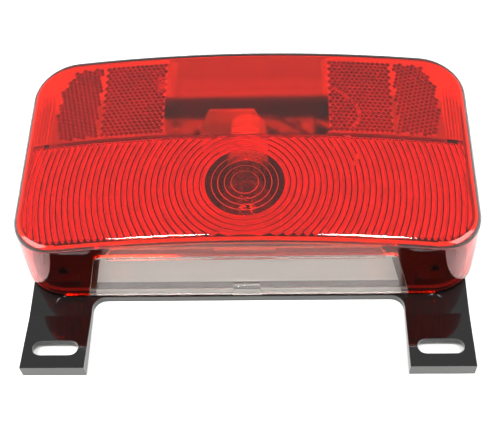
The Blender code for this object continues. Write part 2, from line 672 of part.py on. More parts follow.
# ---------------------------------------------------------------- wiring
def make_wiring(parent, rubber, leads):
    gx, gy = GROMMET
    z0 = BASE_FLOOR + GAP
    profile = [(0, 0.0004), (GROMMET_R, 0.0004), (GROMMET_R, z0), (0.0080, z0), (0.0078, z0 + 0.0013),
               (0.0066, z0 + 0.0018), (0, z0 + 0.0018)]
    grommet = finish_object("wire_grommet", moved(turned(profile, 28, y_axis=False), gx, gy), rubber, parent)
    socket_back = UPRIGHT_Y + STRIP + 0.0010
    routes = {
        "lead_tail": (100, [(0.0016, socket_back, AXIS_Z), (0.0034, socket_back + 0.0030, AXIS_Z - 0.0008),
                            (0.0130, 0.0350, 0.0205), (0.0250, 0.0340, 0.0130), (0.0360, 0.0285, 0.0098),
                            (0.0450, 0.0215, 0.0096)]),
        "lead_stop": (220, [(-0.0016, socket_back, AXIS_Z - 0.0010),
                            (-0.0004, socket_back + 0.0040, AXIS_Z - 0.0045), (0.0100, 0.0325, 0.0150),
                            (0.0220, 0.0270, 0.0095), (0.0330, 0.0205, 0.0085), (0.0425, 0.0150, 0.0090)]),
        "lead_ground": (340, [(0.0345, 0.0440, 0.0052), (0.0380, 0.0425, 0.0060), (0.0460, 0.0370, 0.0062),
                              (0.0540, 0.0285, 0.0068), (0.0560, 0.0200, 0.0088)]),
    }
    for name, (degrees, begin) in routes.items():
        angle = math.radians(degrees)
        hx = gx + 0.0028 * math.cos(angle)
        hy = gy + 0.0028 * math.sin(angle)
        hole = prism(circle(hx, hy, LEAD_R + GAP, 12), -0.001, 0.008)
        boolean(grommet, tool("grommet_" + name, hole))
        last = Vector(begin[-1])
        turn_in = Vector((hx, hy, 0.0084)) + (last - Vector((hx, hy, last.z))).normalized() * 0.0008
        finish = [tuple(turn_in), (hx, hy, 0.0062), (hx, hy, 0.0005)]
        tube(name, smooth_route(begin + finish, 5), LEAD_R, leads[name], parent, resolution=2)


# ---------------------------------------------------------------- the object
def build():
    clear_scene()
    red = material("red_lens", (0.62, 0.012, 0.010), 0.06, transmission=0.9)
    clear = material("clear_window", (0.90, 0.88, 0.84), 0.05, transmission=0.95)
    black = material("black_base_plastic", (0.012, 0.011, 0.011), 0.35)
    gloss = material("gloss_black_bracket", (0.010, 0.009, 0.009), 0.18)
    grey = material("grey_gasket", (0.30, 0.28, 0.27), 0.8)
    rubber = material("black_rubber", (0.015, 0.015, 0.015), 0.7)
    zinc = material("zinc_plated_steel", (0.62, 0.60, 0.55), 0.3, 1.0)
    steel = material("screw_steel", (0.55, 0.55, 0.55), 0.35, 1.0)
    brass = material("brass", (0.72, 0.50, 0.20), 0.28, 1.0)
    phenolic = material("brown_phenolic", (0.16, 0.07, 0.03), 0.5)
    solder = material("solder", (0.60, 0.60, 0.62), 0.4, 1.0)
    glass = material("bulb_glass", (0.95, 0.95, 0.95), 0.02, transmission=1.0)
    vitrite = material("black_glass", (0.010, 0.010, 0.014), 0.15)
    tungsten = material("tungsten", (0.35, 0.33, 0.31), 0.4, 1.0)
    leads = {"lead_tail": material("brown_lead", (0.13, 0.05, 0.02), 0.45),
             "lead_stop": material("green_lead", (0.02, 0.16, 0.05), 0.45),
             "lead_ground": material("white_lead", (0.75, 0.74, 0.70), 0.45)}

    lamp = empty("lamp", (0, 0, 0))
    lens_lift = empty("lens_lift", (0, 0, LENS_RIM_Z), lamp)
    contact_push = empty("contact_push", (0, CAP_Y1, AXIS_Z), lamp)
    bulb_turn = empty("bulb_turn", (0, CAP_Y1, AXIS_Z), contact_push)

    make_lens(lens_lift, red)
    make_window(lens_lift, clear)
    make_base(lamp, black)
    make_gasket(lamp, grey)
    make_bracket(lamp, gloss)
    make_screws(lamp, steel)
    make_socket_bracket(lamp, zinc)
    make_rivets(lamp, steel)
    make_shell(lamp, zinc)
    spring_start = make_plunger(contact_push, phenolic, brass)
    make_spring(lamp, steel, spring_start)
    make_bulb(bulb_turn, brass, glass, vitrite, solder, tungsten)
    make_wiring(lamp, rubber, leads)


build()
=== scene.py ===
# %% [markdown]
# # A trailer tail light, cell by cell
# The lamp is a red plastic lens clipped over a black tray, with a clear window in its lower wall that
# lights the licence plate, and a black bracket that carries the plate. It lies on its back: +X is its
# width, +Y points to its top and +Z comes out of its face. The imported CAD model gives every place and
# size; this file only gives the looks.

import math

import bmesh
import bpy
import numpy as np
from mathutils import Matrix, Vector
from mathutils.geometry import delaunay_2d_cdt


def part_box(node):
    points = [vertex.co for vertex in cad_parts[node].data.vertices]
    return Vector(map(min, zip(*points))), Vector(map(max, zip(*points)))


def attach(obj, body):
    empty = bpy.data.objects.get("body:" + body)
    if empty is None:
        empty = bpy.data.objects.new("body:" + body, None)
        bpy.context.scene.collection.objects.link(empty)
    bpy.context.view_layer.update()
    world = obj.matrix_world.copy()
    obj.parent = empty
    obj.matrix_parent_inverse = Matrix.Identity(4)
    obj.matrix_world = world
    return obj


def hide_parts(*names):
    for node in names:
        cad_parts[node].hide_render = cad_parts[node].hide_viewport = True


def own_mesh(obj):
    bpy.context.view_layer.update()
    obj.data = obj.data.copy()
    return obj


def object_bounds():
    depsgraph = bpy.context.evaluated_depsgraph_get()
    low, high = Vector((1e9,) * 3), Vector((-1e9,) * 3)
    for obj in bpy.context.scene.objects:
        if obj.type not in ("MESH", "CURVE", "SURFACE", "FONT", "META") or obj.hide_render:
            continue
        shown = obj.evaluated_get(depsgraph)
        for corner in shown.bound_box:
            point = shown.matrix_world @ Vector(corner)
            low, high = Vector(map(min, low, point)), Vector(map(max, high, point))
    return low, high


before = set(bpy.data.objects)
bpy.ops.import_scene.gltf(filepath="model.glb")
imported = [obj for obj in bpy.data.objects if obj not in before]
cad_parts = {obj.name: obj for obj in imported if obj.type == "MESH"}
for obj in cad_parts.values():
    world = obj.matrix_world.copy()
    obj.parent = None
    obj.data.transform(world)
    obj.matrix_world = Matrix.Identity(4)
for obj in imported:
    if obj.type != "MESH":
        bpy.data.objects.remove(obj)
cad_box = [list(corner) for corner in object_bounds()]
MM = 0.001
print("CAD box in mm:", [[round(v / MM, 1) for v in corner] for corner in cad_box])

# %% [markdown]
# ## Small helpers
# Colours are picked as sRGB hex values, because that is how a colour is read off a swatch, but shaders
# work in linear light. One function turns one into the other. Every mesh here is written with bmesh,
# and one function turns it into an object, rides it on its body and gives it its material.


# %% Colour and object helpers
def linear(hex_colour, alpha=1.0):
    """sRGB hex such as 'c0392b' to linear RGBA."""
    parts = [int(hex_colour[i:i + 2], 16) / 255 for i in (0, 2, 4)]
    return [p / 12.92 if p <= 0.04045 else ((p + 0.055) / 1.055) ** 2.4 for p in parts] + [alpha]


def piece(name, bm, material, body, stands_for=(), sharp=35.0, weld=1e-7):
    """Turns bmesh into an object that rides a body; edges bent by more than `sharp` degrees stay crisp."""
    bmesh.ops.remove_doubles(bm, verts=bm.verts, dist=weld)
    bmesh.ops.recalc_face_normals(bm, faces=bm.faces)
    mesh = bpy.data.meshes.new(name)
    bm.to_mesh(mesh)
    bm.free()
    mesh.shade_smooth()
    mesh.set_sharp_from_angle(angle=math.radians(sharp))
    made = bpy.data.objects.new(name, mesh)
    bpy.context.scene.collection.objects.link(made)
    mesh.materials.append(material)
    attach(made, body)
    if stands_for:
        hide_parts(*stands_for)
    return made


def skin(bm, loops, closed=True, ends=True):
    """Joins a row of loops with equal counts by quads; returns the vertex rings."""
    rings = [[bm.verts.new(point) for point in loop] for loop in loops]
    count = len(loops[0])
    for low, high in zip(rings, rings[1:]):
        for i in range(count if closed else count - 1):
            j = (i + 1) % count
            bm.faces.new((low[i], low[j], high[j], high[i]))
    if ends:
        bm.faces.new(list(reversed(rings[0])))
        bm.faces.new(rings[-1])
    return rings


def arc(cx, cy, radius, start, end, steps):
    """Points of an arc in degrees, ends included."""
    return [(cx + radius * math.cos(math.radians(start + (end - start) * i / steps)),
             cy + radius * math.sin(math.radians(start + (end - start) * i / steps)))
            for i in range(steps + 1)]


print("sRGB 808080 is", round(linear("808080")[0], 3), "in linear light")


# %% [markdown]
# ## Node helper
# One small function adds a shader node with its settings and its links, so each material reads as a
# short list of what feeds what.


# %% One node at a time
def node(tree, kind, settings=None, **inputs):
    """Adds a node. `inputs` are values or sockets; _ stands for a blank, and i0 for the first input."""
    made = tree.nodes.new(kind)
    for key, value in (settings or {}).items():
        setattr(made, key, value)
    for key, value in inputs.items():
        numbered = key[0] == "i" and key[1:].isdigit()
        target = made.inputs[int(key[1:]) if numbered else key.replace("_", " ")]
        if isinstance(value, bpy.types.NodeSocket):
            tree.links.new(value, target)
        else:
            target.default_value = value
    return made


def new_material(name):
    """An empty node material with its output node."""
    made = bpy.data.materials.new(name)
    made.use_nodes = True
    made.node_tree.nodes.clear()
    tree = made.node_tree
    return made, tree, node(tree, "ShaderNodeOutputMaterial")


# %% [markdown]
# ## Camera
# The camera stands below the lamp's foot and looks up along its face, about 57 degrees above the
# floor, turned and tipped by a few degrees. It could be aimed at a target by a constraint, but three
# angles also give it the small roll. A 71 mm lens on a 36 mm sensor gives a product picture's perspective.

# %% Camera
CAMERA_PLACE = Vector((0.02141, -0.28505, 0.41979))
CAMERA_ELEVATION = math.radians(57.25)
CAMERA_YAW = math.radians(4.48)
CAMERA_ROLL = math.radians(-4.37)
CAMERA_LENS = 71.2

camera_data = bpy.data.cameras.new("camera")
camera_data.lens = CAMERA_LENS
camera_data.sensor_width = 36.0
camera_data.clip_start = 0.01
camera = bpy.data.objects.new("camera", camera_data)
bpy.context.scene.collection.objects.link(camera)
aim = Matrix.Rotation(CAMERA_YAW, 4, "Z") @ Matrix.Rotation(math.pi / 2 - CAMERA_ELEVATION, 4, "X")
camera.matrix_world = Matrix.Translation(CAMERA_PLACE) @ aim @ Matrix.Rotation(CAMERA_ROLL, 4, "Z")
bpy.context.scene.camera = camera
print("camera at", [round(v, 3) for v in CAMERA_PLACE])

# %% [markdown]
# ## Floor
# The lamp lies on a sweep of paper that is lit until it burns out to white, as for a catalogue. The red
# plastic is clear, so most of its brightness is this floor seen through it. A bent sweep could be
# modelled, but a plane that reaches far past the view has no bend that the plastic would mirror.


# %% Floor
FLOOR_HALF = 6.0
FLOOR_GAP = 0.2 * MM


def make_floor():
    """Paper is dull, with a faint grain of fibres. It is grey by itself; the lights make it white."""
    tree_material, tree, out = new_material("white_paper_sweep")
    grain = node(tree, "ShaderNodeTexNoise", Scale=400.0, Detail=3.0)
    tint = node(tree, "ShaderNodeValToRGB", i0=grain.outputs["Fac"])
    tint.color_ramp.elements[0].color = linear("b2b2b0")
    tint.color_ramp.elements[1].color = linear("b9b9b8")
    paper = node(tree, "ShaderNodeBsdfPrincipled", Base_Color=tint.outputs["Color"], Roughness=0.75)
    tree.links.new(paper.outputs["BSDF"], out.inputs["Surface"])
    bm = bmesh.new()
    level = cad_box[0][2] - FLOOR_GAP
    corners = [(-1, -1), (1, -1), (1, 1), (-1, 1)]
    bm.faces.new([bm.verts.new((x * FLOOR_HALF, y * FLOOR_HALF, level)) for x, y in corners])
    mesh = bpy.data.meshes.new("floor")
    bm.to_mesh(mesh)
    bm.free()
    mesh.materials.append(tree_material)
    floor = bpy.data.objects.new("floor", mesh)
    bpy.context.scene.collection.objects.link(floor)


make_floor()
print("floor:", 2 * FLOOR_HALF, "m square")

# %% [markdown]
# ## Lights and room
# A soft box on each side gives the long gleams on the lens's lower corners. Two smaller ones overhead
# light the inside of the lamp through the plastic; they are kept apart, so that the edge of the face
# has a gap between its two highlights. One wide light would be simpler, but the glossy plastic would
# mirror it as a white patch. A pale room, brightest at the horizon, fills the rest.


# %% Lights and room
HORIZON = 1.2
CEILING = 0.75
SIDE_WATTS = 16
TOP_WATTS = 42


def softbox(name, place, target, width, height, watts):
    """A rectangular area light that looks at a point."""
    data = bpy.data.lights.new(name, "AREA")
    data.shape = "RECTANGLE"
    data.size = width
    data.size_y = height
    data.energy = watts
    made = bpy.data.objects.new(name, data)
    bpy.context.scene.collection.objects.link(made)
    made.location = place
    made.rotation_euler = (Vector(target) - Vector(place)).to_track_quat("-Z", "Y").to_euler()


for side, way in (("left", -1), ("right", 1)):
    softbox(f"softbox_{side}", (way * 1.1, -0.35, 0.55), (0, 0, 0.02), 0.9, 0.7, SIDE_WATTS)
    softbox(f"softbox_top_{side}", (way * 0.46, -0.20, 1.7), (0, 0, 0), 0.42, 0.35, TOP_WATTS)

world = bpy.data.worlds.new("pale_room")
world.use_nodes = True
room = world.node_tree
heading = node(room, "ShaderNodeTexCoord")
height = node(room, "ShaderNodeSeparateXYZ", Vector=heading.outputs["Generated"])
fade = node(room, "ShaderNodeValToRGB", Fac=height.outputs["Z"])
fade.color_ramp.elements[0].position = 0.10
fade.color_ramp.elements[0].color = (HORIZON, HORIZON, HORIZON, 1.0)
fade.color_ramp.elements[1].position = 0.60
fade.color_ramp.elements[1].color = (CEILING, CEILING, CEILING, 1.0)
room.links.new(fade.outputs["Color"], room.nodes["Background"].inputs["Color"])
room.nodes["Background"].inputs["Strength"].default_value = 1.0
bpy.context.scene.world = world
bpy.context.scene.view_settings.view_transform = "Standard"

# %% [markdown]
# ## Clear plastics
# The lens is injection-moulded acrylic, dyed through. What the eye sees is depth: thin places are
# bright, and the long way through a wall or an edge is deep red. So the colour is not on the surface
# but inside, as absorption per metre, and the surface is only a smooth clear skin with an index of 1.49.
# A tinted surface would be simpler, but it would give every thickness the same red.
# Two numbers stored on the mesh say where the skin isn't polished: `frost` is rough and `satin` scatters.
# A third number is painted shade: it darkens the colour where it is marked.


# %% Clear plastics
ACRYLIC_INDEX = 1.49


def clear_plastic(name, roughness, ripple_mm, ripple_height, tint=(1, 1, 1, 1), clear=1.0, frost=0.0,
                  satin=0.0, painted_shade_dim=1.0):
    """A clear moulding; its skin follows the faint ripples of the mould's polish."""
    made, tree, out = new_material(name)
    place = node(tree, "ShaderNodeTexCoord")
    ripple = node(tree, "ShaderNodeTexNoise", Vector=place.outputs["Object"],
                  Scale=1 / (ripple_mm * MM), Detail=2.0)
    bump = node(tree, "ShaderNodeBump", Strength=1.0, Distance=ripple_height * MM,
                Height=ripple.outputs["Fac"])
    patch = node(tree, "ShaderNodeAttribute", {"attribute_name": "frost"})
    rough = node(tree, "ShaderNodeMapRange", Value=patch.outputs["Fac"],
                 To_Min=roughness, To_Max=roughness + frost)
    cut = node(tree, "ShaderNodeAttribute", {"attribute_name": "satin"})
    through = node(tree, "ShaderNodeMapRange", Value=cut.outputs["Fac"], To_Min=clear, To_Max=clear - satin)
    # Painted shade: a number on the mesh fades the colour from the tint to a darker copy of it, as if shaded.
    painted_shade_mark = node(tree, "ShaderNodeAttribute", {"attribute_name": "shade"})
    colour = node(tree, "ShaderNodeValToRGB", Fac=painted_shade_mark.outputs["Fac"])
    colour.color_ramp.elements[0].color = tint
    colour.color_ramp.elements[1].color = (tint[0] * painted_shade_dim, tint[1] * painted_shade_dim, tint[2] * painted_shade_dim, 1.0)
    shader = node(tree, "ShaderNodeBsdfPrincipled", Base_Color=colour.outputs["Color"],
                  Roughness=rough.outputs["Result"], IOR=ACRYLIC_INDEX,
                  Transmission_Weight=through.outputs["Result"], Normal=bump.outputs["Normal"])
    tree.links.new(shader.outputs["BSDF"], out.inputs["Surface"])
    return made, tree, out


def dye(tree, out, colour, density):
    """Dye inside the plastic: each colour fades by (1 - colour) x density per metre."""
    body = node(tree, "ShaderNodeVolumeAbsorption", Color=colour, Density=density)
    tree.links.new(body.outputs["Volume"], out.inputs["Volume"])


# The lens: a mirror skin over deep red, pale where its ring flanks and prisms catch light; the last number is
# painted shade.
red_acrylic, red_tree, red_out = clear_plastic("moulded_red_acrylic", 0.02, 30.0, 0.02,
                                               (1.0, 0.62, 0.50, 1.0), 1.0, frost=0.16, satin=0.66, painted_shade_dim=0.26)
dye(red_tree, red_out, (0.955, 0.46, 0.10, 1.0), 1200.0)
# The licence window's faces: as smooth as the lens, without dye, and a little warm.
clear_acrylic = clear_plastic("moulded_clear_acrylic", 0.03, 25.0, 0.02, (0.97, 0.96, 0.93, 1.0))[0]
# Its blasted back: milky white, so it hides the bulb while it lights the plate.
frosted_acrylic = clear_plastic("frosted_clear_acrylic", 0.45, 2.0, 0.02, (0.64, 0.57, 0.52, 1.0), 0.6)[0]
print("clear plastics:", red_acrylic.name, clear_acrylic.name, frosted_acrylic.name)


# %% [markdown]
# ## Opaque finishes: how they are built
# A moulding copies its mould: fine grain from spark erosion, or almost none from polishing, and patches
# that are a little more or less worn. Metal gets streaks from drawing, rolling or plating instead. Both
# put the grain in the bump and let the roughness wander, so that no highlight is even.


# %% Two kinds of surface
WEAR_SCALE = 60.0


def moulded_plastic(name, colour, roughness, grain_mm, grain_height, index=1.53):
    """Plastic, rubber or resin out of a mould."""
    made, tree, out = new_material(name)
    place = node(tree, "ShaderNodeTexCoord")
    grain = node(tree, "ShaderNodeTexNoise", Vector=place.outputs["Object"],
                 Scale=1 / (grain_mm * MM), Detail=4.0)
    bump = node(tree, "ShaderNodeBump", Strength=1.0, Distance=grain_height * MM,
                Height=grain.outputs["Fac"])
    wear = node(tree, "ShaderNodeTexNoise", Vector=place.outputs["Object"], Scale=WEAR_SCALE, Detail=5.0)
    rough = node(tree, "ShaderNodeMapRange", Value=wear.outputs["Fac"],
                 To_Min=roughness * 0.8, To_Max=roughness * 1.25)
    shader = node(tree, "ShaderNodeBsdfPrincipled", Base_Color=linear(colour),
                  Roughness=rough.outputs["Result"], IOR=index, Normal=bump.outputs["Normal"])
    tree.links.new(shader.outputs["BSDF"], out.inputs["Surface"])
    return made


def metal(name, colour, roughness, streak_mm, streak_height):
    """Drawn, rolled or plated metal."""
    made, tree, out = new_material(name)
    place = node(tree, "ShaderNodeTexCoord")
    streak = node(tree, "ShaderNodeTexNoise", Vector=place.outputs["Object"],
                  Scale=1 / (streak_mm * MM), Detail=3.0)
    bump = node(tree, "ShaderNodeBump", Strength=1.0, Distance=streak_height * MM,
                Height=streak.outputs["Fac"])
    rough = node(tree, "ShaderNodeMapRange", Value=streak.outputs["Fac"],
                 To_Min=roughness * 0.7, To_Max=roughness * 1.4)
    shader = node(tree, "ShaderNodeBsdfPrincipled", Base_Color=linear(colour),
                  Roughness=rough.outputs["Result"], Metallic=1.0, Normal=bump.outputs["Normal"])
    tree.links.new(shader.outputs["BSDF"], out.inputs["Surface"])
    return made


def blown_glass():
    """Soda glass, slightly wavy from blowing, so the reflections in the bulb wobble."""
    made, tree, out = new_material("blown_soda_glass")
    place = node(tree, "ShaderNodeTexCoord")
    wave = node(tree, "ShaderNodeTexNoise", Vector=place.outputs["Object"], Scale=120.0, Detail=1.0)
    bump = node(tree, "ShaderNodeBump", Strength=1.0, Distance=0.02 * MM, Height=wave.outputs["Fac"])
    shader = node(tree, "ShaderNodeBsdfPrincipled", Base_Color=(1, 1, 1, 1), Roughness=0.0, IOR=1.51,
                  Transmission_Weight=1.0, Normal=bump.outputs["Normal"])
    tree.links.new(shader.outputs["BSDF"], out.inputs["Surface"])
    return made


print("kinds of surface: moulding, metal, glass")

# %% [markdown]
# ## Opaque finishes: the set
# Each line is one real material: its colour, its roughness, and the size and height of its grain in mm.

# %% The finishes
# Tray: a fine spark-eroded grain, which gives a soft grey sheen.
black_abs = moulded_plastic("grained_black_abs", "1a1a1b", 0.42, 0.6, 0.03)
# Bracket: the same plastic from a polished mould, nearly a black mirror that shows the red wall.
polished_abs = moulded_plastic("polished_black_abs", "060505", 0.05, 6.0, 0.003)
# Gasket: open pores scatter everything, so it looks pale and dry.
foam = moulded_plastic("grey_foam_rubber", "8f8785", 0.85, 0.5, 0.08, 1.5)
# Grommet: rubber swallows light and keeps only a dull rim of it.
soft_rubber = moulded_plastic("black_epdm_rubber", "161616", 0.65, 0.8, 0.03, 1.52)
# Contact disc: resin pressed into paper, brown with a slight gloss.
phenolic = moulded_plastic("pressed_brown_phenolic", "5a3722", 0.45, 0.4, 0.02, 1.6)
# Bulb's end: fused glass, black and wet-looking.
vitrite = moulded_plastic("black_vitrite_glass", "0b0b0f", 0.12, 3.0, 0.01, 1.55)
# Leads: sheaths drawn hot, so one long soft highlight runs along each.
pvc = {"tail": moulded_plastic("brown_pvc_sheath", "5c3a1e", 0.38, 0.5, 0.01, 1.54),
       "stop": moulded_plastic("green_pvc_sheath", "1f7a3c", 0.38, 0.5, 0.01, 1.54),
       "ground": moulded_plastic("white_pvc_sheath", "e6e3da", 0.38, 0.5, 0.01, 1.54)}
# Socket and its strip: grains of zinc scatter light, pale and without a clear mirror image.
zinc = metal("zinc_plated_steel", "efece4", 0.82, 1.2, 0.03)
# Screws and rivets: bright plating, so their heads sparkle.
bright_steel = metal("bright_plated_steel", "c2c2c2", 0.25, 0.8, 0.01)
# Spring: drawn wire, a grey line of light along each turn.
spring_steel = metal("drawn_spring_steel", "a9a8a6", 0.28, 0.4, 0.01)
# Cap and contacts: the only warm mirror in the lamp.
brass = metal("drawn_brass", "d8b46a", 0.26, 1.0, 0.01)
# Contact spots: set from liquid, soft and faintly dimpled.
solder = metal("tin_solder", "c9cacc", 0.38, 0.5, 0.03)
# Filaments: dull grey while they are cold.
tungsten = metal("drawn_tungsten", "9a958f", 0.40, 0.1, 0.005)
# Bulb and stem: clear, with wobbling reflections.
bulb_glass = blown_glass()
print("opaque finishes:", len(bpy.data.materials))

# %% [markdown]
# ## The lens's shell
# The outer skin is lofted: a rounded rectangle climbs the leaning walls, turns over a small radius and
# ends on a face that bulges across its width like part of a drum. The same loft, moved in by the wall
# thickness, makes the inner skin.

# %% Lens sizes
lens_low, lens_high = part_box("lens")
RIM_Z = lens_low.z
CROWN_Z = lens_high.z
HALF_W = lens_high.x
HALF_H = lens_high.y
CORNER = 22.0 * MM
WALL = 2.4 * MM
EDGE = 4.2 * MM
FACE_RADIUS = 610.0 * MM
RIM_EDGE = 0.3 * MM
SIDE_DRAFT = math.radians(1.0)
END_DRAFT = math.radians(3.8)
print("lens:", round(2 * HALF_W / MM, 1), "x", round(2 * HALF_H / MM, 1), "mm, crown at",
      round(CROWN_Z / MM, 1))


def face_z(x):
    """Height of the bulging face."""
    return CROWN_Z - x * x / (2 * FACE_RADIUS)


def outline(inset, corner_steps=14, along=56):
    """Rounded rectangle, counter-clockwise from the lower right corner."""
    half_w, half_h, radius = HALF_W - inset, HALF_H - inset, CORNER - inset
    x, y = half_w - radius, half_h - radius
    split = [-x + 2 * x * i / along for i in range(1, along)]
    points = arc(x, -y, radius, -90, 0, corner_steps) + arc(x, y, radius, 0, 90, corner_steps)
    points += [(s, half_h) for s in reversed(split)]
    points += arc(-x, y, radius, 90, 180, corner_steps) + arc(-x, -y, radius, 180, 270, corner_steps)
    points += [(s, -half_h) for s in split]
    return points


def leaned(x, y, z, inset):
    """Moves a point of the outline inwards as the walls lean in with height."""
    rise = z - RIM_Z
    half_w, half_h = HALF_W - inset, HALF_H - inset
    return (x * (half_w - rise * math.tan(SIDE_DRAFT)) / half_w,
            y * (half_h - rise * math.tan(END_DRAFT)) / half_h)


def shell_loops(inset, edge, steps=8):
    """Loops of one skin, from the rim up the walls and over the rounded edge."""
    ring = outline(inset)
    rim_edge = RIM_EDGE if inset == 0 else 0.0
    loops = [[(*leaned(x, y, RIM_Z, inset), RIM_Z) for x, y in ring]]
    if rim_edge:
        pull = 1 - rim_edge / HALF_W
        loops = [[(x * pull, y * (1 - rim_edge / HALF_H), z) for x, y, z in loops[0]],
                 [(x, y, z + rim_edge) for x, y, z in loops[0]]]
    for i in range(steps + 1):
        angle = math.pi / 2 * i / steps
        pull = edge * (1 - math.cos(angle))
        drop = inset + edge * (1 - math.sin(angle))
        loop = []
        for x, y in ring:
            bx, by = leaned(x, y, face_z(x) - drop, inset)
            dx = max(abs(x) - (HALF_W - CORNER), 0.0)
            dy = max(abs(y) - (HALF_H - CORNER), 0.0)
            reach = math.hypot(dx, dy) or 1.0
            bx -= math.copysign(pull * dx / reach, x)
            by -= math.copysign(pull * dy / reach, y)
            loop.append((bx, by, face_z(bx) - drop))
        loops.append(loop)
    return loops


# %% [markdown]
# ## Optics on the inside of the face
# The outside of the face is smooth; everything that catches the light is moulded on the inside.
# Relief hangs from the inner skin: rings cut like a stepped lens over the bulb, fields of corner prisms
# that throw headlights back, a rib that parts the two halves, and faint flutes. Each field is made as
# its own sheet, its border is carried up to the inner skin by a short wall, and the flat part between
# the fields is filled by a constrained triangulation, so the whole lens is one closed body of plastic.


# %% Relief helpers
def inner_z(x):
    return face_z(x) - WALL


def inside_polygon(points, polygon):
    """True for each point that lies in the polygon, by counting crossings."""
    px, py = points[:, 0], points[:, 1]
    result = np.zeros(len(points), bool)
    count = len(polygon)
    for i in range(count):
        ax, ay = polygon[i]
        bx, by = polygon[(i + 1) % count]
        if ay == by:
            continue
        crosses = ((ay > py) != (by > py)) & (px < (bx - ax) * (py - ay) / (by - ay) + ax)
        result ^= crosses
    return result


def border_loops(bm, faces):
    """Border edges of a sheet, chained into closed rings of vertices."""
    chosen = set(faces)
    following = {}
    for face in faces:
        for loop in face.loops:
            others = [f for f in loop.edge.link_faces if f is not face and f in chosen]
            if not others:
                following.setdefault(loop.vert, []).append(loop.link_loop_next.vert)
    rings = []
    while following:
        start = next(iter(following))
        ring = [start]
        here = start
        while True:
            options = following[here]
            there = options.pop()
            if not options:
                del following[here]
            if there is start:
                break
            ring.append(there)
            here = there
            if here not in following:
                break
        rings.append(ring)
    return rings


def hang(bm, ring):
    """Walls from the border of a relief sheet up to the inner skin; returns the upper ring."""
    upper = [bm.verts.new((v.co.x, v.co.y, inner_z(v.co.x))) for v in ring]
    count = len(ring)
    for i in range(count):
        j = (i + 1) % count
        bm.faces.new((ring[i], upper[i], upper[j], ring[j]))
    return upper


# %% [markdown]
# ### The rings
# The rings take the bulb's light, which fans out, and send it straight back down the road. Each ring is
# a slope and a step. The slope that bends a ray at angle t from the bulb into a straight beam has
# tangent sin t / (n - cos t). Over the bulb itself the slopes are kept shallow. Rings could be faked by
# a bump, but only real teeth bend what is seen through them.

# %% Rings
RING_MIDDLE = Vector((0.0, -24.0 * MM))
INNER_RADII_MM = [0.0, 6.5, 9.6, 12.7, 15.6, 18.4]
RING_PITCH = 2.8 * MM
STEP_WIDTH = 0.45 * MM
INNER_SLOPE = math.radians(8)
TOOTH_FLANK_DEGREES = [60, 54, 48]
TOOTH_BACK = math.radians(66)
TOOTH_LAND = 0.5 * MM
RELIEF_FLOOR = 0.08 * MM
RINGS_HALF_W = 103.3 * MM
RINGS_LOW_Y = -51.3 * MM
RINGS_HIGH_Y = 2.1 * MM
RINGS_CORNER = 15.0 * MM
RINGS_REACH = 112.0 * MM
RING_STEPS = 240


def ring_profile():
    """(radius, depth) from the middle outwards: shallow steps over the bulb, then one tooth a ring."""
    radii = [r * MM for r in INNER_RADII_MM]
    profile = []
    for low, high in zip(radii, radii[1:]):
        profile += [(low, (high - STEP_WIDTH - low) * math.tan(INNER_SLOPE)), (high - STEP_WIDTH, 0.0)]
    flank = [(0.0, 0.0)]
    for degrees in TOOTH_FLANK_DEGREES:
        flank.append((flank[-1][0] + 1.0, flank[-1][1] + math.tan(math.radians(degrees))))
    scale = (RING_PITCH - TOOTH_LAND) / (flank[-1][0] + flank[-1][1] / math.tan(TOOTH_BACK))
    depth = flank[-1][1] * scale
    radius = radii[-1]
    while radius < RINGS_REACH:
        profile += [(radius + along * scale, down * scale) for along, down in flank]
        profile.append((radius + RING_PITCH - TOOTH_LAND, 0.0))
        radius += RING_PITCH
    print("tooth depth in mm:", round(depth / MM, 2))
    return profile


def ring_sheet():
    profile = ring_profile()
    bm = bmesh.new()
    mx, my = RING_MIDDLE
    rings = []
    for radius, depth in profile[1:]:
        ring = []
        for i in range(RING_STEPS):
            angle = 2 * math.pi * i / RING_STEPS
            x, y = mx + radius * math.cos(angle), my + radius * math.sin(angle)
            ring.append(bm.verts.new((x, y, inner_z(x) - RELIEF_FLOOR - depth)))
        rings.append(ring)
    middle = bm.verts.new((mx, my, inner_z(mx) - RELIEF_FLOOR - profile[0][1]))
    for i in range(RING_STEPS):
        j = (i + 1) % RING_STEPS
        bm.faces.new((middle, rings[0][i], rings[0][j]))
        for near, far in zip(rings, rings[1:]):
            bm.faces.new((near[i], far[i], far[j], near[j]))
    cuts = [((RINGS_HALF_W, 0), (1, 0)), ((-RINGS_HALF_W, 0), (-1, 0)), ((0, RINGS_LOW_Y), (0, -1)),
            ((0, RINGS_HIGH_Y), (0, 1))]
    for side in (-1, 1):
        cx, cy = side * (RINGS_HALF_W - RINGS_CORNER), RINGS_LOW_Y + RINGS_CORNER
        for degrees in range(9, 90, 9):
            nx, ny = side * math.cos(math.radians(degrees)), -math.sin(math.radians(degrees))
            cuts.append(((cx + RINGS_CORNER * nx, cy + RINGS_CORNER * ny), (nx, ny)))
    for (px, py), (nx, ny) in cuts:
        geometry = bm.verts[:] + bm.edges[:] + bm.faces[:]
        bmesh.ops.bisect_plane(bm, geom=geometry, dist=1e-8, plane_co=(px, py, 0), plane_no=(nx, ny, 0),
                               clear_outer=True)
    print("ring sheet faces:", len(bm.faces))
    return bm


# %% [markdown]
# ### The reflex fields
# A corner of a cube sends light back the way it came. Seen along its diagonal a cube is a hexagon, so
# cube corners pack like a honeycomb. The height of each point follows from the cube's edge: the tip
# stands 2/root 3 of an edge deep, the near corners 1/root 3, and the far corners are level with the
# inner skin. Real fields are about 2.4 mm across a cell. A cell is only three faces, so real shapes cost
# little here.

# %% Reflex fields
CELL = 2.4 * MM
CUBE = CELL / math.sqrt(2)
FIELD_REACH = 0.13
FIELD_COLUMNS = 50


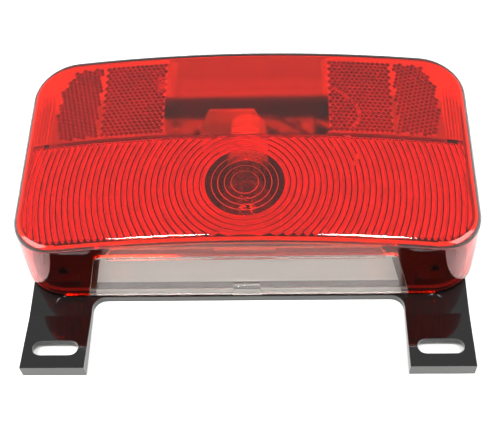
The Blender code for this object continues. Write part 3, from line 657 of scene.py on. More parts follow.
def cell_sheet(bm, polygon, turn, middle):
    """Cube corners whose middles lie inside the polygon."""
    radius = CELL / math.sqrt(3)
    rows = int(FIELD_REACH / (1.5 * radius))
    cos_t, sin_t = math.cos(turn), math.sin(turn)

    def spot(u, v):
        return (middle[0] + u * cos_t - v * sin_t, middle[1] + u * sin_t + v * cos_t)

    centres = []
    for row in range(-rows, rows + 1):
        for column in range(-FIELD_COLUMNS, FIELD_COLUMNS + 1):
            u = (column + 0.5 * (row % 2)) * CELL
            centres.append((u, row * 1.5 * radius))
    world = np.array([spot(u, v) for u, v in centres])
    keep = inside_polygon(world, polygon)
    verts = {}

    def corner(u, v, depth):
        key = (round(u / radius * 4), round(v / radius * 4), round(depth / CUBE * 10))
        if key not in verts:
            x, y = spot(u, v)
            verts[key] = bm.verts.new((x, y, inner_z(x) - RELIEF_FLOOR - depth))
        return verts[key]

    faces = []
    for (u, v), wanted in zip(centres, keep):
        if not wanted:
            continue
        tip = corner(u, v, 2 * CUBE / math.sqrt(3))
        rim = []
        for k in range(6):
            angle = math.radians(30 + 60 * k)
            depth = CUBE / math.sqrt(3) if k % 2 == 0 else 0.0
            rim.append(corner(u + radius * math.cos(angle), v + radius * math.sin(angle), depth))
        for k in (0, 2, 4):
            faces.append(bm.faces.new((tip, rim[k], rim[k + 1], rim[(k + 2) % 6])))
    return faces


def mirror(points):
    return [(-x, y) for x, y in reversed(points)]


# Outlines in mm; the outer field is turned a little, so that it answers lights from further aside.
REFLEX_INNER = [(39.9, 6.3), (70.5, 6.3), (70.5, 49.5), (39.9, 49.5)]
REFLEX_OUTER = [(72.6, 6.3), (89.0, 6.3), (92.4, 10.0), (93.4, 24.0), (92.4, 37.5), (86.5, 48.8),
                (72.6, 49.5)]
OUTER_TURN = 0.30


def in_metres(points):
    return [(x * MM, y * MM) for x, y in points]


def reflex_sheets():
    fields = []
    for polygon, turn in ((REFLEX_INNER, 0.0), (mirror(REFLEX_INNER), 0.0), (REFLEX_OUTER, OUTER_TURN),
                          (mirror(REFLEX_OUTER), -OUTER_TURN)):
        bm = bmesh.new()
        shape = np.array(in_metres(polygon))
        faces = cell_sheet(bm, shape, turn, tuple(shape.mean(0)))
        print("reflex field with", len(faces) // 3, "cells")
        fields.append(bm)
    return fields


# %% [markdown]
# ### The rib and the pad
# A rib under the face parts the ringed half from the reflex half. It is wide at both sides and only a
# thin fin in the middle, with a small moulding pad above it. It could be joined from boxes, but one
# outline, split along x, follows the bulge of the face by itself.


# %% Rib and pad
RIB_DEPTH = 2.6 * MM
PAD_DEPTH = 0.2 * MM
RIB = [(-103.2, 2.3), (-38.6, 2.5), (-38.0, 3.1), (38.0, 3.1), (38.6, 2.5), (103.2, 2.3), (103.2, 4.5),
       (38.6, 4.8), (38.0, 3.7), (-38.0, 3.7), (-38.6, 4.8), (-103.2, 4.5)]
PAD = [(-6.3, 4.6), (5.7, 4.6), (5.7, 8.1), (-6.3, 8.1)]


def flat_sheet(polygon, depth, spacing=4.0 * MM):
    """A flat-bottomed relief: its outline split along x so that it follows the bulge."""
    points = in_metres(polygon)
    dense = []
    for (ax, ay), (bx, by) in zip(points, points[1:] + points[:1]):
        parts = max(1, math.ceil(abs(bx - ax) / spacing))
        dense += [(ax + (bx - ax) * i / parts, ay + (by - ay) * i / parts) for i in range(parts)]
    edges = [(i, (i + 1) % len(dense)) for i in range(len(dense))]
    verts, _, triangles, _, _, _ = delaunay_2d_cdt([Vector(p) for p in dense], edges, [], 1, 1e-9)
    bm = bmesh.new()
    made = [bm.verts.new((v.x, v.y, inner_z(v.x) - depth)) for v in verts]
    for triangle in triangles:
        bm.faces.new([made[i] for i in triangle])
    return bm


# %% [markdown]
# ### Flutes
# Outboard of the reflex fields the skin carries faint upright flutes, only deep enough to break up what
# lies behind. They are real grooves for the same reason as the rings.

# %% Flutes
FLUTES_FROM = 95.0 * MM
FLUTES_TO = 103.8 * MM
FLUTES_Y = (5.4 * MM, 35.0 * MM)
FLUTE_PITCH = 1.6 * MM
FLUTE_DEPTH = 0.30 * MM


def flute_sheet(side):
    """Upright V grooves, side by side."""
    bm = bmesh.new()
    count = 2 * int((FLUTES_TO - FLUTES_FROM) / FLUTE_PITCH)
    columns = []
    for i in range(count + 1):
        x = side * (FLUTES_FROM + i * FLUTE_PITCH / 2)
        depth = RELIEF_FLOOR + (FLUTE_DEPTH if i % 2 else 0.0)
        columns.append([bm.verts.new((x, y, inner_z(x) - depth)) for y in FLUTES_Y])
    for (a, b), (c, d) in zip(columns, columns[1:]):
        bm.faces.new((a, c, d, b) if side > 0 else (a, b, d, c))
    return bm


print("flutes a side:", int((FLUTES_TO - FLUTES_FROM) / FLUTE_PITCH))


# %% [markdown]
# ### Cutting and filling
# Helpers for the lens and its window: a slab that leans with the lower wall, the top of the face, the
# flat part between the reliefs, and cuts with a solid. The window's opening could be left out of the
# loft, but cutting it afterwards keeps the loft simple and the opening's edges clean.

# %% Cutting and filling
WINDOW_GAP = 0.3 * MM
WINDOW_INNER = WALL + WINDOW_GAP
window_low, window_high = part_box("license_window")
WINDOW_HALF_REAR = window_high.x
WINDOW_HALF_TOP = 69.7 * MM
WINDOW_TOP_Z = 36.3 * MM
WINDOW_CORNER = 4.0 * MM
WINDOW_WALL = 2.2 * MM
FLAT_STEP_X = 5.0 * MM
FLAT_STEP_Y = 9.0 * MM
CLEAR_OF_EDGE = 1.5 * MM


def wall_slab(half_low, half_top, z0, z1, front, back, corner=0.0, steps=8):
    """A slab in the plane of the leaning lower wall; front and back are depths into the lamp."""
    if corner:
        shape = [(-half_low, z0), (half_low, z0)]
        shape += arc(half_top - corner, z1 - corner, corner, 0, 90, steps)
        shape += arc(-half_top + corner, z1 - corner, corner, 90, 180, steps)
    else:
        shape = [(-half_low, z0), (half_low, z0), (half_top, z1), (-half_top, z1)]
    bm = bmesh.new()

    def place(x, z, depth):
        return (x, -HALF_H + (z - RIM_Z) * math.tan(END_DRAFT) + depth, z)

    skin(bm, [[place(x, z, back) for x, z in shape], [place(x, z, front) for x, z in shape]])
    return bm


def close_face(bm, ring):
    """Closes the top with strips from the lower edge to the upper one."""
    pairs = []
    for v in ring:
        if v.co.y < 0:
            partner = min(ring, key=lambda w: abs(w.co.x - v.co.x) + abs(w.co.y + v.co.y))
            pairs.append((v, partner))
    pairs.sort(key=lambda pair: pair[0].co.x)
    for (a, b), (c, d) in zip(pairs, pairs[1:]):
        bm.faces.new((a, c, d, b))


def add_sheet(bm, sheet):
    """Hangs a sheet and copies it into bm; returns the plan outlines that it fills."""
    upper = []
    for ring in border_loops(sheet, sheet.faces[:]):
        hung = hang(sheet, ring)
        upper.append([(v.co.x, v.co.y) for v in hung])
    mesh = bpy.data.meshes.new("sheet")
    sheet.to_mesh(mesh)
    sheet.free()
    bm.from_mesh(mesh)
    bpy.data.meshes.remove(mesh)
    return upper


def fill_between(bm, boundary, holes):
    """Triangulates the inner skin between its border and the hung sheets."""
    points = [p for loop in [boundary] + holes for p in loop]
    edges = []
    first = 0
    for loop in [boundary] + holes:
        edges += [(first + i, first + (i + 1) % len(loop)) for i in range(len(loop))]
        first += len(loop)
    known = np.array(points)
    grid = [(x, y) for x in np.arange(-HALF_W, HALF_W, FLAT_STEP_X)
            for y in np.arange(-HALF_H, HALF_H, FLAT_STEP_Y)]
    grid = np.array([g for g in grid if np.hypot(*(known - g).T).min() > CLEAR_OF_EDGE])
    points += [tuple(g) for g in grid]
    verts, _, triangles, _, _, _ = delaunay_2d_cdt([Vector(p) for p in points], edges, [], 0, 1e-9)
    flat = np.array([(v.x, v.y) for v in verts])
    middles = np.array([flat[list(t)].mean(0) for t in triangles])
    keep = inside_polygon(middles, boundary)
    for hole in holes:
        keep &= ~inside_polygon(middles, hole)
    made = {}
    for triangle, wanted in zip(triangles, keep):
        if not wanted:
            continue
        corners = []
        for i in triangle:
            if i not in made:
                made[i] = bm.verts.new((verts[i].x, verts[i].y, inner_z(verts[i].x)))
            corners.append(made[i])
        bm.faces.new(corners)
    print("inner skin triangles:", int(keep.sum()))


def cut_away(target, cutter_bm, operation="DIFFERENCE"):
    bmesh.ops.recalc_face_normals(cutter_bm, faces=cutter_bm.faces)
    mesh = bpy.data.meshes.new("cutter")
    cutter_bm.to_mesh(mesh)
    cutter_bm.free()
    cutter = bpy.data.objects.new("cutter", mesh)
    bpy.context.scene.collection.objects.link(cutter)
    step = target.modifiers.new("cut", "BOOLEAN")
    step.operation = operation
    step.solver = "EXACT"
    step.object = cutter
    bpy.context.view_layer.objects.active = target
    bpy.ops.object.modifier_apply(modifier="cut")
    bpy.data.objects.remove(cutter)
    bpy.data.meshes.remove(mesh)


def loose_edges(obj):
    bm = bmesh.new()
    bm.from_mesh(obj.data)
    count = sum(1 for e in bm.edges if len(e.link_faces) != 2)
    bm.free()
    return count


print("window opening:", round(2 * WINDOW_HALF_REAR / MM, 1), "mm wide at the rim")

# %% [markdown]
# ### Polished, dull and scattering places
# Moulds aren't polished everywhere. The plain window over the socket was blasted, the flanks of the
# rings and the prisms keep the marks of the cutter, and the outer skin is a mirror all over. Only faces
# that look down into the lamp are marked rough or scattering. A third mark is painted shade: it darkens
# the red over the prisms, and more and more towards the top of the plain window, where the shadowed
# floor behind the lamp and the dark reflections in the prisms would show. Several materials would split
# the one body of dyed plastic, so numbers on the mesh drive a single material instead.

# %% Marking the inner skin
FROST_HALF_W = 38.8 * MM
FROST_LOW_Y = 3.4 * MM
FROST_HIGH_Y = 50.4 * MM
SKIN_BAND = 0.3 * MM
RELIEF_BAND = 4 * MM
BULB_BAND = 2 * MM
FLANK_NORMAL_Z = (0.34, 0.88)
STEP_NORMAL_Z = 0.97
CELL_SATIN = 0.45
FLAT_SATIN = 0.6
# Painted shade over the prisms, and the heights between which the plain window's painted shade grows.
CELL_PAINTED_SHADE = 0.45
PAINTED_SHADE_FROM_Y = 20.0 * MM
PAINTED_SHADE_TO_Y = 34.0 * MM
CELLS_HALF_W = 94.5 * MM


def mark_painted_shade(mesh):
    """Painted shade: darker in the prisms, and darker towards the top of the plain window."""
    shade = mesh.attributes.new("shade", "FLOAT", "POINT")
    for vertex in mesh.vertices:
        x, y, z = vertex.co
        below = inner_z(x) - z
        if abs(x) < FROST_HALF_W and abs(below) < SKIN_BAND:
            share = (y - PAINTED_SHADE_FROM_Y) / (PAINTED_SHADE_TO_Y - PAINTED_SHADE_FROM_Y)
            shade.data[vertex.index].value = min(max(share, 0.0), 1.0)
        elif (FROST_HALF_W < abs(x) < CELLS_HALF_W and y > FROST_LOW_Y
              and RELIEF_FLOOR / 2 < below < RELIEF_BAND):
            shade.data[vertex.index].value = CELL_PAINTED_SHADE


def mark_skin(mesh):
    """Rough and scattering faces; `below` is the depth under the plain inner skin."""
    frost = mesh.attributes.new("frost", "FLOAT", "FACE")
    satin = mesh.attributes.new("satin", "FLOAT", "FACE")
    for face in mesh.polygons:
        if face.normal.z > 0:
            continue
        x, y, z = face.center
        below = inner_z(x) - z
        if abs(x) < FROST_HALF_W and FROST_LOW_Y < y < FROST_HIGH_Y and abs(below) < SKIN_BAND:
            frost.data[face.index].value = 1.0
        over_bulb = math.hypot(x - RING_MIDDLE.x, y - RING_MIDDLE.y) < INNER_RADII_MM[-1] * MM
        if over_bulb and RELIEF_FLOOR / 2 < below < BULB_BAND:
            frost.data[face.index].value = 1.0
            satin.data[face.index].value = float(abs(face.normal.z) < STEP_NORMAL_Z)
        relief = RELIEF_FLOOR < below < RELIEF_BAND
        steep = FLANK_NORMAL_Z[0] < abs(face.normal.z) < FLANK_NORMAL_Z[1]
        if y < RINGS_HIGH_Y and relief and steep and not over_bulb:
            satin.data[face.index].value = 1.0
            frost.data[face.index].value = 1.0
        elif y > RINGS_HIGH_Y and relief and abs(x) < FLUTES_FROM:
            satin.data[face.index].value = CELL_SATIN
        elif y > RINGS_HIGH_Y and abs(below) < MM and abs(x) > FROST_HALF_W:
            satin.data[face.index].value = FLAT_SATIN
            frost.data[face.index].value = 1.0
    print("rough faces:", sum(1 for value in frost.data if value.value > 0))


# %% [markdown]
# ### The whole lens
# Both skins are lofted and joined at the rim, the sheets are hung from the inner one, the flat part is
# filled in around them, and the window's opening is cut out of the lower wall. Even normals keep the
# long flat walls from shading like cushions.

# %% Lens
def make_lens():
    bm = bmesh.new()
    outer = skin(bm, shell_loops(0.0, EDGE), ends=False)
    inner = skin(bm, shell_loops(WALL, EDGE - WALL), ends=False)
    close_face(bm, outer[-1])
    rim_out, rim_in = outer[0], inner[0]
    for i in range(len(rim_out)):
        j = (i + 1) % len(rim_out)
        bm.faces.new((rim_out[i], rim_out[j], rim_in[j], rim_in[i]))
    boundary = [(v.co.x, v.co.y) for v in inner[-1]]
    sheets = [ring_sheet(), *reflex_sheets(), flat_sheet(RIB, RIB_DEPTH), flat_sheet(PAD, PAD_DEPTH)]
    sheets += [flute_sheet(1), flute_sheet(-1)]
    holes = [loop for sheet in sheets for loop in add_sheet(bm, sheet)]
    fill_between(bm, boundary, holes)
    lens = piece("lens_red", bm, red_acrylic, "lens", ["lens"], sharp=28, weld=1.5e-6)
    print("before the opening, edges without two faces:", loose_edges(lens))
    mark_painted_shade(lens.data)
    mark_skin(lens.data)
    opening = wall_slab(WINDOW_HALF_REAR + WINDOW_GAP, WINDOW_HALF_TOP + WINDOW_GAP, RIM_Z - MM,
                        WINDOW_TOP_Z + WINDOW_GAP, -2 * MM, 6 * MM, WINDOW_CORNER)
    cut_away(lens, opening)
    lens.modifiers.new("even_normals", "WEIGHTED_NORMAL").keep_sharp = True
    return lens


lens = make_lens()
print("lens faces:", len(lens.data.polygons), "edges without two faces:", loose_edges(lens))

# %% [markdown]
# ## Broken edges
# No moulded or stamped edge is quite sharp: its small radius catches a thin line of light. A bevel
# modifier could do this, but a bevel written into the mesh can first merge the flat faces that joining
# or triangulation has split. Bends of a few degrees can be kept crisp, so that they still show.

# %% Broken edges
BEND_ANGLES = (math.radians(1), math.radians(12))
MOULD_ANGLE = math.radians(0.3)


def join_in(target, bm):
    cut_away(target, bm, "UNION")


def mark_bends(obj):
    """Keeps long shallow bends crisp."""
    bm = bmesh.new()
    bm.from_mesh(obj.data)
    for edge in bm.edges:
        if len(edge.link_faces) == 2 and BEND_ANGLES[0] < edge.calc_face_angle(0.0) < BEND_ANGLES[1]:
            edge.smooth = False
    bm.to_mesh(obj.data)
    bm.free()


def rounded(obj, width_mm, segments=2, angle=28.0, bends=False):
    """Breaks the sharp edges of a finished mesh."""
    bm = bmesh.new()
    bm.from_mesh(obj.data)
    bmesh.ops.remove_doubles(bm, verts=bm.verts, dist=1e-6)
    bmesh.ops.dissolve_limit(bm, angle_limit=MOULD_ANGLE, verts=bm.verts, edges=bm.edges,
                             delimit={"MATERIAL"})
    edges = [e for e in bm.edges if len(e.link_faces) == 2 and e.calc_face_angle(0.0) > math.radians(angle)]
    bmesh.ops.bevel(bm, geom=edges, offset=width_mm * MM, segments=segments, profile=0.5, affect="EDGES",
                    clamp_overlap=True)
    bm.to_mesh(obj.data)
    bm.free()
    obj.data.shade_smooth()
    obj.data.set_sharp_from_angle(angle=math.radians(40))
    if bends:
        mark_bends(obj)
    obj.modifiers.new("even_normals", "WEIGHTED_NORMAL").keep_sharp = True
    print(obj.name, "faces:", len(obj.data.polygons), "edges without two faces:", loose_edges(obj))


print("broken edges ready; bends between 1 and 12 degrees can be kept crisp")

# %% [markdown]
# ## The licence window
# A clear moulding that clips into the lens's lower wall. Its back is frosted so that it spreads the
# bulb's light over the plate. A bar along the top, a lip behind the red wall, a hook, two end ribs and a
# small tab for a screwdriver belong to it. Each could be modelled by hand, but all of them are slabs in
# the plane of the leaning wall, so one function makes them and a union joins them to the plate.

# %% Licence window
BAR_HALF = 63.5 * MM
BAR_Z = 32.6 * MM
LIP_Z = 40.5 * MM
HOOK_HALF = 14.0 * MM
TAB_HALF = 7.0 * MM
TAB_Z = (5.8 * MM, 14.0 * MM)
TAB_PROUD = 1.0 * MM
END_RIB = 3.2 * MM
LOW_BAR_Z = (8.5 * MM, 14.5 * MM)


def end_rib(side):
    """A rib that follows the window's slanted end."""
    bm = bmesh.new()

    def place(x, z, depth):
        return (side * x, -HALF_H + (z - RIM_Z) * math.tan(END_DRAFT) + depth, z)

    high = WINDOW_TOP_Z - 3.0 * MM
    shape = [(WINDOW_HALF_REAR - END_RIB, RIM_Z + 0.3 * MM), (WINDOW_HALF_REAR - 0.4 * MM, RIM_Z + 0.3 * MM),
             (WINDOW_HALF_TOP - 0.4 * MM, high), (WINDOW_HALF_TOP - END_RIB, high)]
    skin(bm, [[place(x, z, depth) for x, z in shape] for depth in (WINDOW_INNER + 2.5 * MM, WINDOW_WALL / 2)])
    return bm


def make_window():
    plate = wall_slab(WINDOW_HALF_REAR, WINDOW_HALF_TOP, RIM_Z, WINDOW_TOP_Z, 0.0, WINDOW_WALL, WINDOW_CORNER)
    window = piece("window_clear", plate, clear_acrylic, "lens", ["license_window"])
    root = WINDOW_WALL / 2
    low_bar = WINDOW_HALF_REAR - END_RIB
    bar = wall_slab(BAR_HALF, BAR_HALF, BAR_Z, WINDOW_TOP_Z - 0.6 * MM, root, WINDOW_INNER + 1.8 * MM)
    lip = wall_slab(BAR_HALF, BAR_HALF - 3 * MM, WINDOW_TOP_Z - 2 * MM, LIP_Z, WINDOW_INNER,
                    WINDOW_INNER + 1.6 * MM)
    hook = wall_slab(HOOK_HALF, HOOK_HALF, BAR_Z + 0.8 * MM, LIP_Z - 2.5 * MM, WINDOW_INNER + 0.8 * MM,
                     WINDOW_INNER + 3.0 * MM)
    lower = wall_slab(low_bar, low_bar - MM, *LOW_BAR_Z, root, WINDOW_WALL + 0.9 * MM)
    tab = wall_slab(TAB_HALF, TAB_HALF - 0.8 * MM, *TAB_Z, -TAB_PROUD, root)
    for bm in (bar, lip, hook, lower, end_rib(1), end_rib(-1), tab):
        join_in(window, bm)
    window.data.materials.append(frosted_acrylic)
    for face in window.data.polygons:
        x, y, z = face.center
        depth = y + HALF_H - (z - RIM_Z) * math.tan(END_DRAFT)
        if face.normal.y > 0.9 and abs(depth - WINDOW_WALL) < 0.3 * MM:
            face.material_index = 1
    rounded(window, 0.25)
    return window


make_window()

# %% [markdown]
# ## The mouldings and stampings that carry over
# The tray, the bracket, the socket's strip and its shell are already the right shape in CAD, but CAD
# edges are knife-sharp and real ones catch the light. Each is copied into a new mesh, its flat faces are
# merged, and its edges get the small radius that a mould or a press leaves.


# %% Refined copies
def refined(name, source, material, body, edge_mm, segments=2, angle=28.0, bends=False):
    """A copy of a CAD node with broken edges."""
    bm = bmesh.new()
    bm.from_mesh(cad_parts[source].data)
    made = piece(name, bm, material, body, [source], weld=1e-6)
    rounded(made, edge_mm, segments, angle, bends)
    return made


refined("base_tray", "base_housing", black_abs, "base", 0.35)
refined("plate_bracket", "license_bracket", polished_abs, "base", 0.45, 3, bends=True)
refined("socket_strip", "socket_bracket", zinc, "base", 0.2)
refined("bayonet_shell", "socket_shell", zinc, "base", 0.12)
refined("grommet", "wire_grommet", soft_rubber, "base", 0.25)
for lead, colour in (("tail", "brown_lead"), ("stop", "green_lead"), ("ground", "white_lead")):
    wire = refined(f"wire_{lead}", f"lead_{lead}", pvc[lead], "base", 0.05, 1, 60.0)
    wire.modifiers.new("round", "SUBSURF").levels = 1
    wire.modifiers["round"].render_levels = 1

# %% [markdown]
# ## Turned pieces and wire
# Rivets, screws, contacts and the bulb are round, so each is an outline spun about its axis. Springs
# and filaments are wire: a small circle carried along a path. Two helpers make them all.


# %% Turning and wire helpers
def turned(profile, middle, axis="Y", steps=40):
    """Spins a closed outline of (radius, place along the axis)."""
    bm = bmesh.new()
    rings = []
    for i in range(steps):
        c, s = math.cos(2 * math.pi * i / steps), math.sin(2 * math.pi * i / steps)
        ring = [(middle[0] + r * c, middle[1] + r * s, along) for r, along in profile]
        rings.append([bm.verts.new((a, along, b) if axis == "Y" else (a, b, along)) for a, b, along in ring])
    for i in range(steps):
        here, there = rings[i], rings[(i + 1) % steps]
        for k in range(len(profile)):
            n = (k + 1) % len(profile)
            if profile[k][0] == 0 and profile[n][0] == 0:
                continue
            corners = [here[k], here[n], there[n], there[k]]
            if profile[k][0] == 0:
                corners = [here[k], here[n], there[n]]
            elif profile[n][0] == 0:
                corners = [here[k], here[n], there[k]]
            bm.faces.new(corners)
    return bm


def wire_along(bm, points, radius, sides=8):
    """Carries a circle along a path without twist."""
    path = [Vector(p) for p in points]
    heading = (path[1] - path[0]).normalized()
    side = heading.orthogonal().normalized()
    loops = []
    for i, here in enumerate(path):
        ahead = (path[min(i + 1, len(path) - 1)] - path[max(i - 1, 0)]).normalized()
        side = (side - ahead * side.dot(ahead)).normalized()
        up = ahead.cross(side)
        loops.append([here + radius * (math.cos(2 * math.pi * k / sides) * side
                                       + math.sin(2 * math.pi * k / sides) * up) for k in range(sides)])
    skin(bm, loops)


def dome(radius, base, height, steps=8, sink=0.0):
    """Half an arch from the rim to the axis, for a profile."""
    return [(radius * math.cos(math.pi / 2 * i / steps), base + height * math.sin(math.pi / 2 * i / steps)
             - (sink if i == steps else 0.0)) for i in range(steps + 1)]


def rounded_rectangle(half_w, half_h, radius, steps=12):
    x, y = half_w - radius, half_h - radius
    return (arc(x, -y, radius, -90, 0, steps) + arc(x, y, radius, 0, 90, steps)
            + arc(-x, y, radius, 90, 180, steps) + arc(-x, -y, radius, 180, 270, steps))


# %% [markdown]
# ## Gasket and fixings
# The gasket is a strip of foam rubber in the tray's groove; where it shows it bulges a little. It could
# be a plain band, but the bulge is what catches the light, so its section is carried round. The
# socket's strip is held by two domed rivets and the bracket by two pan-head screws with a cross recess.

# %% Gasket, rivets and screws
gasket_low, gasket_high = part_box("lens_gasket")
GASKET_DEPTH = 2.15 * MM
GASKET_BULGE = 0.5 * MM
GASKET_CORNER = 18.6 * MM


def make_gasket():
    tall = gasket_high.z - gasket_low.z
    section = [(GASKET_DEPTH, 0.0), (GASKET_BULGE, 0.0), (0.15 * GASKET_BULGE, 0.22), (0.0, 0.5),
               (0.15 * GASKET_BULGE, 0.78), (GASKET_BULGE, 1.0), (GASKET_DEPTH, 1.0)]
    loops = []
    for inset, share in section + section[:1]:
        ring = rounded_rectangle(gasket_high.x - inset, gasket_high.y - inset, GASKET_CORNER - inset)
        loops.append([(x, y, gasket_low.z + share * tall) for x, y in ring])
    bm = bmesh.new()
    skin(bm, loops, ends=False)
    piece("gasket_strip", bm, foam, "base", ["lens_gasket"])


def make_rivet(name):
    low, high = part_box(name)
    mx, my = (low.x + high.x) / 2, (low.y + high.y) / 2
    head = (high.x - low.x) / 2
    seat = high.z - 1.4 * MM
    shank = 1.6 * MM
    rise = 0.2 * MM
    profile = [(0, low.z), (shank, low.z), (shank, seat), (head, seat),
               *dome(head, seat + rise, high.z - seat - rise, sink=0.5 * MM)]
    piece(f"{name}_domed", turned(profile, (mx, my), "Z", 32), bright_steel, "base", [name])


def make_screw(name):
    low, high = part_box(name)
    mx, my = (low.x + high.x) / 2, (low.y + high.y) / 2
    head = (high.x - low.x) / 2
    seat = high.z - 2.4 * MM
    shank = 1.9 * MM
    rise = 0.9 * MM
    profile = [(0, low.z), (shank * 0.6, low.z), (shank, low.z + 0.7 * MM), (shank, seat),
               (head - 0.2 * MM, seat), (head, seat + 0.3 * MM),
               *dome(head, seat + rise, high.z - seat - rise)]
    screw = piece(f"{name}_pan", turned(profile, (mx, my), "Z", 32), bright_steel, "base",
                  [name])
    for long, wide in ((2.0 * MM, 0.42 * MM), (0.42 * MM, 2.0 * MM)):
        recess = bmesh.new()
        skin(recess, [[(mx - a * long, my - a * wide, z), (mx + a * long, my - a * wide, z),
                       (mx + a * long, my + a * wide, z), (mx - a * long, my + a * wide, z)]
                      for a, z in ((0.5, high.z - 1.5 * MM), (1.0, high.z + 0.1 * MM))])
        cut_away(screw, recess)


make_gasket()
for name in ("rivet_left", "rivet_right"):
    make_rivet(name)
for name in ("bracket_screw_left", "bracket_screw_right"):
    make_screw(name)

# %% [markdown]
# ## Contacts and spring
# A brown phenolic disc carries two brass contacts and is pushed at the bulb by a coil spring. The spring
# is squashed against the shell's end when the bulb goes in. It could be a bevelled curve, but a mesh of
# its own rides its body like every other piece.

# %% Contacts and spring
AXIS_Z = 26.0 * MM
SPRING_TURNS = 4
SPRING_MEAN_R = 5.4 * MM
plunger_low, plunger_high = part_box("contact_plunger")
spring_low, spring_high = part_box("contact_spring")


def make_plunger():
    r = plunger_high.x
    y0, y1 = plunger_low.y, plunger_high.y
    step = y0 + 1.6 * MM
    hub = r - 3.1 * MM
    chamfer = 0.25 * MM
    profile = [(0, y0), (r - chamfer, y0), (r, y0 + chamfer), (r, step - chamfer), (r - chamfer, step),
               (hub, step), (hub, y1 - chamfer), (hub - chamfer, y1), (0, y1)]
    piece("plunger_disc", turned(profile, (0, AXIS_Z)), phenolic, "contacts",
          ["contact_plunger"])


def make_contact(name):
    low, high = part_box(name)
    rim = (high.x - low.x) / 2
    edge = 0.5 * MM
    arch = [(r, high.y - (along - high.y)) for r, along in dome(rim, high.y + edge, high.y - low.y - edge)]
    middle = ((low.x + high.x) / 2, AXIS_Z)
    piece(f"{name}_button", turned([(0, high.y), (rim, high.y), *arch], middle, steps=24), brass,
          "contacts", [name])


def make_spring():
    wire = (spring_high.x - spring_low.x) / 2 - SPRING_MEAN_R
    mean = spring_high.x - wire
    y0, y1 = spring_low.y + wire, spring_high.y - wire
    count = SPRING_TURNS * 36
    bm = bmesh.new()
    turn = [2 * math.pi * SPRING_TURNS * i / count for i in range(count + 1)]
    wire_along(bm, [(mean * math.cos(angle), y0 + (y1 - y0) * i / count, AXIS_Z + mean * math.sin(angle))
                    for i, angle in enumerate(turn)], wire, 10)
    spring = piece("spring_coil", bm, spring_steel, "base", ["contact_spring"])
    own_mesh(spring)


make_plunger()
make_contact("contact_tail")
make_contact("contact_stop")
make_spring()

# %% [markdown]
# ## The bulb
# A two-filament bayonet bulb: a thin glass ball with a neck, a drawn brass cap with two pins at
# different heights, a glass stem that carries both filaments, a black glass disc in the end and two
# spots of solder. Each filament is a fine coil between two posts. The ball could be a solid with a glass
# material, but it would act as a strong magnifier, so it has an outer and an inner wall.

# %% Bulb
cap_low, cap_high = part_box("bulb_cap")
ball_low, ball_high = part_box("bulb_glass")
stem_low, stem_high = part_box("bulb_stem")
CAP_R = 7.5 * MM
PIN_R = 1.0 * MM
PIN_Y = (5.0 * MM, 8.0 * MM)
NECK_R = 6.4 * MM
GLASS_R = ball_high.x
GLASS_WALL = 0.7 * MM
BULB_Y = ball_low.y + GLASS_R + 1.2 * MM
BEND_DEGREES = 137
FILAMENT_WIRE = 0.11 * MM


def ball_outline(radius, neck, tip, end, steps=26):
    """From the tip round the ball and over a smooth shoulder into the neck."""
    points = []
    for i in range(steps + 1):
        angle = math.radians(BEND_DEGREES) * i / steps
        points.append((radius * math.sin(angle), BULB_Y - (BULB_Y - tip) * math.cos(angle)))
    r0, y0 = points[-1]
    shoulder = y0 + 7.5 * MM
    for i in range(1, 9):
        t = i / 8
        ease = t * t * (3 - 2 * t)
        share = 0.55 * ease + 0.45 * min(1.0, 1.6 * t)
        points.append((r0 + (neck - r0) * share, y0 + (shoulder - y0) * t))
    return points + [(neck, end)]


def make_bulb():
    end = ball_high.y
    outside = ball_outline(GLASS_R, NECK_R, ball_low.y, end)
    inside = ball_outline(GLASS_R - GLASS_WALL, NECK_R - 0.8 * MM, ball_low.y + GLASS_WALL, end)
    piece("bulb_ball", turned(outside + list(reversed(inside)), (0, AXIS_Z), steps=56), bulb_glass, "bulb",
          ["bulb_glass"])
    bore = NECK_R + 0.3 * MM
    lip = 0.5 * MM
    profile = [(bore, cap_low.y), (CAP_R - 0.2 * MM, cap_low.y), (CAP_R, cap_low.y + 0.3 * MM),
               (CAP_R, cap_high.y - lip), (CAP_R - 0.2 * MM, cap_high.y - 0.15 * MM),
               (CAP_R - lip, cap_high.y), (0, cap_high.y), (0, end + 0.3 * MM), (bore, end + 0.3 * MM)]
    cap = piece("bulb_cap_drawn", turned(profile, (0, AXIS_Z), steps=56), brass, "bulb",
                ["bulb_cap"])
    for side, pin_y in zip((1, -1), PIN_Y):
        pin = bmesh.new()
        loops = []
        for reach, r in ((5 * MM, PIN_R), (cap_high.x - 0.2 * MM, PIN_R), (cap_high.x, PIN_R - 0.2 * MM)):
            angles = [math.radians(18 * k) for k in range(20)]
            loops.append([(side * reach, pin_y + r * math.cos(a), AXIS_Z + r * math.sin(a)) for a in angles])
        skin(pin, loops)
        join_in(cap, pin)
    cap.data.shade_smooth()
    cap.data.set_sharp_from_angle(angle=math.radians(35))


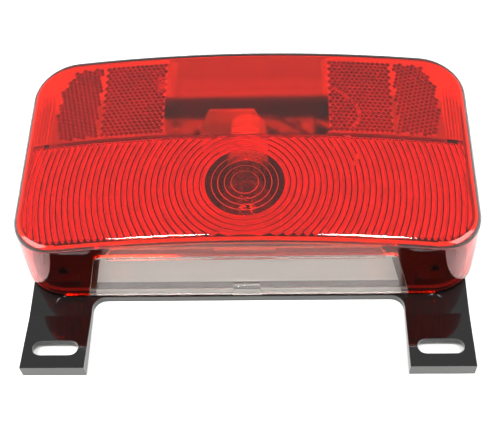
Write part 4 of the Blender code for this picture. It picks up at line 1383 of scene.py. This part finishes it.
def make_stem_and_end():
    """The glass stem inside, the black disc in the cap's end and its two spots of solder."""
    flare = stem_high.x
    start = stem_low.y
    profile = [(0, start), (1.5 * MM, start + 0.2 * MM), (1.9 * MM, start + MM), (2.2 * MM, start + 4.0 * MM),
               (2.9 * MM, start + 5.6 * MM), (flare, stem_high.y - 1.8 * MM), (flare, stem_high.y),
               (0, stem_high.y)]
    piece("stem_glass", turned(profile, (0, AXIS_Z)), bulb_glass, "bulb", ["bulb_stem"])
    low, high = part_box("bulb_insulator")
    profile = [(0, low.y), (high.x, low.y), (high.x - 0.15 * MM, high.y - 0.3 * MM),
               (high.x - 0.4 * MM, high.y), (0, high.y)]
    piece("insulator_disc", turned(profile, (0, AXIS_Z)), vitrite, "bulb", ["bulb_insulator"])
    for name in ("bulb_contact_tail", "bulb_contact_stop"):
        low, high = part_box(name)
        spot = [(0, low.y), *dome((high.x - low.x) / 2, low.y, high.y - low.y)]
        middle = ((low.x + high.x) / 2, AXIS_Z)
        piece(f"{name}_spot", turned(spot, middle, steps=24), solder, "bulb", [name])


def make_filament(name, side, half):
    """Two bent posts and a fine coil of twice `half` between them."""
    post = 0.22 * MM
    z = AXIS_Z + side * 1.6 * MM
    y = BULB_Y - side * 1.2 * MM
    foot = stem_low.y - 0.3 * MM
    bm = bmesh.new()
    for way in (-1, 1):
        wire_along(bm, [(way * 1.6 * MM, foot, AXIS_Z + side * 0.6 * MM),
                        (way * 2.6 * MM, foot - 4.7 * MM, z),
                        (way * half, y + 1.2 * MM, z), (way * half, y, z)], post)
    turns = 11
    count = turns * 14
    coil = 0.42 * MM
    middle = y - 0.3 * MM
    angles = [2 * math.pi * turns * i / count for i in range(count + 1)]
    wire_along(bm, [(-half + 2 * half * i / count, middle + coil * math.cos(a), z + coil * math.sin(a))
                    for i, a in enumerate(angles)], FILAMENT_WIRE, 6)
    piece(f"{name}_coil", bm, tungsten, "bulb", [name])


make_bulb()
make_stem_and_end()
make_filament("filament_tail", -1, 3.6 * MM)
make_filament("filament_stop", 1, 3.0 * MM)
